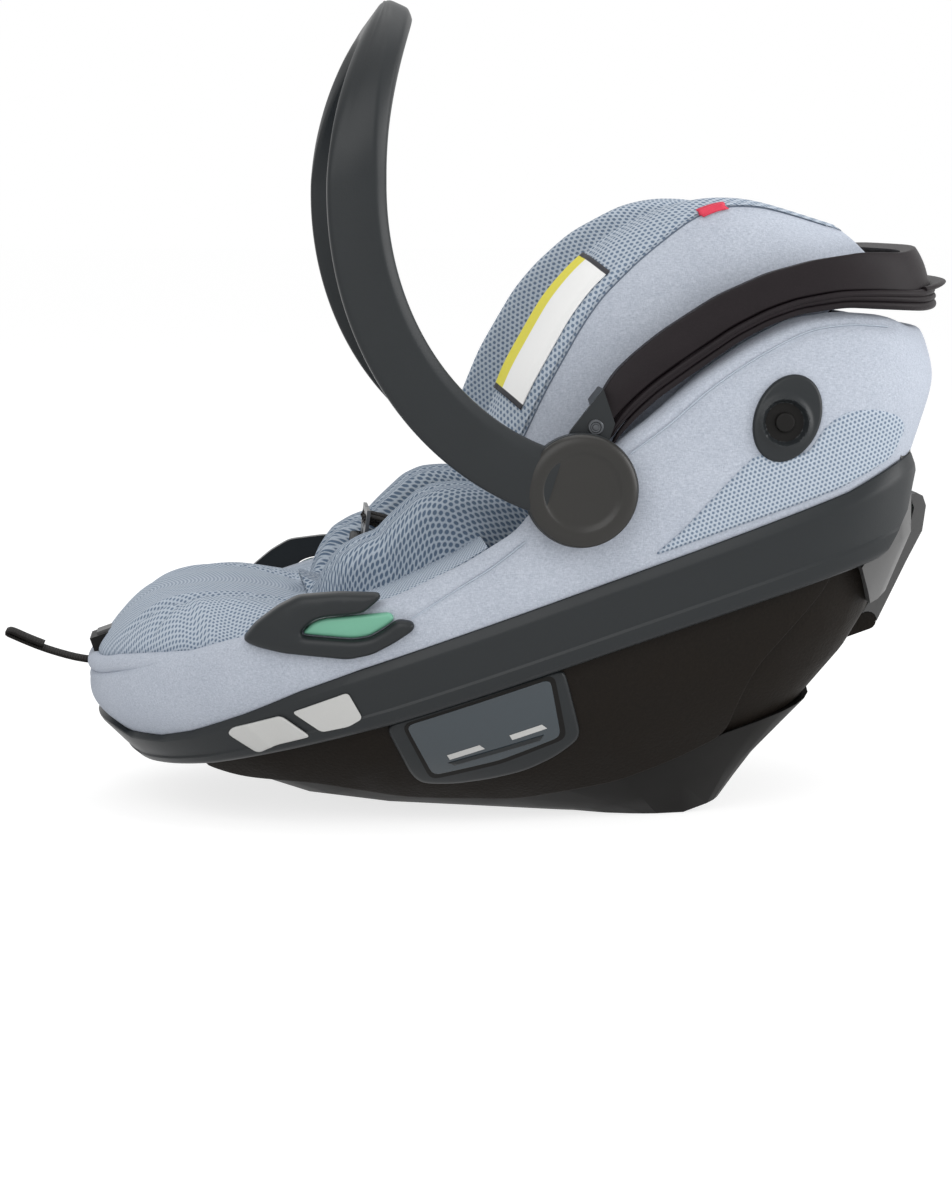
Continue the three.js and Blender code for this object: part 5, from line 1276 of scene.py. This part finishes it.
def inlay_grid(rows=110, columns=110):
    """Height over the plan: side-view crest at the bolsters, the bed in the gap, a channel along each."""
    t = np.linspace(0, 1, rows)[:, None]
    s = np.linspace(-1, 1, columns)[None]
    x = -222 + 252 * t
    half = 118 * np.maximum(1e-3, 1 - np.abs(2 * t - 1) ** 5) ** 0.2
    y = half * np.sin(s * math.pi / 2)
    base = bed_at(x) + 16
    crest = np.maximum(read(INLAY, x), base - 14)
    lift = blend_step((np.abs(y) - 20) / 26)
    edge = np.clip((half - np.abs(y)) / 20, 0, 1)
    top = base + (crest - base) * lift + 3
    top = top - 16 * (1 - np.sqrt(1 - (1 - edge) ** 2)) - 3 * np.exp(-((np.abs(y) - 74) / 4) ** 2) * lift
    return np.stack([x + 0 * y, y, top], -1)


top = inlay_grid()
x, y, z = (top[..., k] for k in range(3))
under = np.stack([x, y * 0.97, np.minimum(z - 10, bed_at(x) - 4)], -1)
pad_surface("hip_inlay_skin", top, under, inlay_mesh, ["hip_inlay"])
print("pads ready")

# %% [markdown]
# The harness: flat ribbed webbing from the headrest over the shoulders to the buckle, from the buckle to
# the hips, the crotch strap below, and the adjuster's pull strap with its folded end at the nose.

# %% Straps
def strap(name, points, width, thickness, material=webbing):
    """Flat webbing along a smooth path that stands for the node of the same name."""
    path = curve(points, 80)
    section = oblong(thickness, width, thickness / 2, 3)
    grid = swept(path, np.cross(np.gradient(path, axis=0), (0.0, 1.0, 0.0)), section)
    piece = surface(name + "_skin", grid, "tube", uv=arc_uv(grid), sharp=60)
    return finish_piece(piece, material, "carrier", [name])


LEAN_IN = math.radians(26)
BUCKLE_X = -184.03
STRAP, PAD = (25, 1.8), (44, 12)
crotch_foot = np.interp(BUCKLE_X, (-224.7, -165.2), (-95.1, -125))
BUCKLE = np.array([BUCKLE_X, 0.0, crotch_foot + 66])
EYE_HEIGHT, EYE_ACROSS = 65, 16.3


def from_buckle(off, across, up):
    """Place off the buckle's front, across it and up along it, in the seat frame."""
    return BUCKLE + np.array([off * math.cos(LEAN_IN) + up * math.sin(LEAN_IN), across,
                              -off * math.sin(LEAN_IN) + up * math.cos(LEAN_IN)])


# Columns: place along the slope, height off it, distance from the middle.
RUN = np.array([[218, 10, 38], [218, 30, 38], [204, 36, 38], [150, 35, 37], [115, 45, 36], [80, 50, 33],
                [45, 58, 28], [8, 82, 22]])
PAD_RUN = np.array([195, 175, 150, 130, 108])
for side, name in SIDES:
    eye = side * EYE_ACROSS
    shoulder = from_slope(RUN[:, [0, 2, 1]] * [1, side, 1]).tolist()
    shoulder += [from_buckle(8, eye, EYE_HEIGHT + 2), from_buckle(-2, eye, EYE_HEIGHT + 2)]
    strap("shoulder_strap_" + name, shoulder, *STRAP)
    hip = [from_buckle(-2, eye, EYE_HEIGHT - 2), from_buckle(8, eye, EYE_HEIGHT - 4),
           (-122, side * 24, -32), (-106, side * 27, -60), (-95, side * 29, -81)]
    strap("hip_strap_" + name, hip, *STRAP)
    off, across = (np.interp(-PAD_RUN, -RUN[:, 0], RUN[:, k]) for k in (1, 2))
    strap("shoulder_pad_" + name, from_slope(np.stack([PAD_RUN, side * across, off], -1)), *PAD, mesh_cloth)
    dressed("buckle_tongue_" + name, dark_steel, 0.5)
strap("crotch_strap", [(-184, 0, crotch_foot + up) for up in (1, 33, 61)], *STRAP)
strap("adjuster_strap", [(-384, 0, -27), (-400, 0, -27), (-412, 0, -22), (-427, 0, -12), (-442, 0, 0),
                         (-458, 0, 15), (-460.5, 0, 18), (-460, 0, 19), (-456, 0, 17.5), (-446, 0, 8),
                         (-436, 0, -1)], 25, 2.4)
for node, look, bevel in (("buckle_body", black_plastic, 3), ("buckle_button", red_plastic, 1.2),
                          ("adjuster_body", black_plastic, 0), ("adjuster_button", grey_plastic, 0),
                          ("rear_release", grey_plastic, 1.2), ("release_insert", green, 0.5)):
    dressed(node, look, bevel)
print("harness ready")

# %% [markdown]
# The stage is plain: a pale floor that shows white to the camera and keeps the shadow, an even pale world,
# and three wide lamps, so that colours come out about as written. The key stands above and in front, one
# hangs over the top, and one lights the head end. Floor and world are brighter only for rays that come
# from the camera, a gloss or a pane, so the background is white without more light on the object.

# %% Floor and light
def seen_share(tree):
    """1 for camera, glossy and transmission rays, 0 for the rest."""
    path_node = tree.nodes.new("ShaderNodeLightPath")
    camera, glossy, through = (Value(tree, path_node.outputs[f"Is {kind} Ray"])
                               for kind in ("Camera", "Glossy", "Transmission"))
    return (camera + glossy + through).math("MINIMUM", 1.0)


def floor_material():
    """Half diffuse and half glow where it is seen, and diffuse alone where it lights the object."""
    made = bpy.data.materials.new("floor")
    made.use_nodes = True
    tree = made.node_tree
    tree.nodes.remove(tree.nodes["Principled BSDF"])
    share = seen_share(tree) * 0.5
    diffuse = share.node("BsdfDiffuse", {}, {"Color": (0.82, 0.82, 0.82, 1)})
    glow = share.node("Emission", {}, {"Color": (1, 1, 1, 1), "Strength": 1.5})
    mixed = share.node("MixShader", {}, {0: share, 1: diffuse, 2: glow})
    tree.links.new(mixed.socket, tree.nodes["Material Output"].inputs["Surface"])
    return made


bpy.ops.mesh.primitive_plane_add(size=60, location=(0, 0, -0.0005))
floor = bpy.context.object
floor.name = "floor"
floor.data.materials.append(floor_material())
world = bpy.data.worlds.new("world")
bpy.context.scene.world = world
world.use_nodes = True
tree = world.node_tree
background = tree.nodes["Background"]
tree.links.new((seen_share(tree) * 0.4 + 0.6).socket, background.inputs["Strength"])
background.inputs["Color"].default_value = (1, 1, 1, 1)
AIM = np.array([0.0, 0, 0.3])
for name, place, size, power in (("key", (-0.9, -2.4, 1.9), 2.2, 35), ("top", (0.3, 0.4, 3.0), 2.6, 24),
                                 ("rim", (2.6, -0.9, 1.0), 1.8, 45)):
    lamp = bpy.data.lights.new(name, "AREA")
    lamp.size, lamp.energy = size, power
    holder = bpy.data.objects.new(name, lamp)
    bpy.context.scene.collection.objects.link(holder)
    holder.location = place
    x, y, z = AIM - np.array(place)
    holder.rotation_euler = (math.atan2(math.hypot(x, y), -z), 0, math.atan2(y, x) - math.pi / 2)
bpy.context.scene.view_settings.view_transform = "Standard"
print("stage ready")
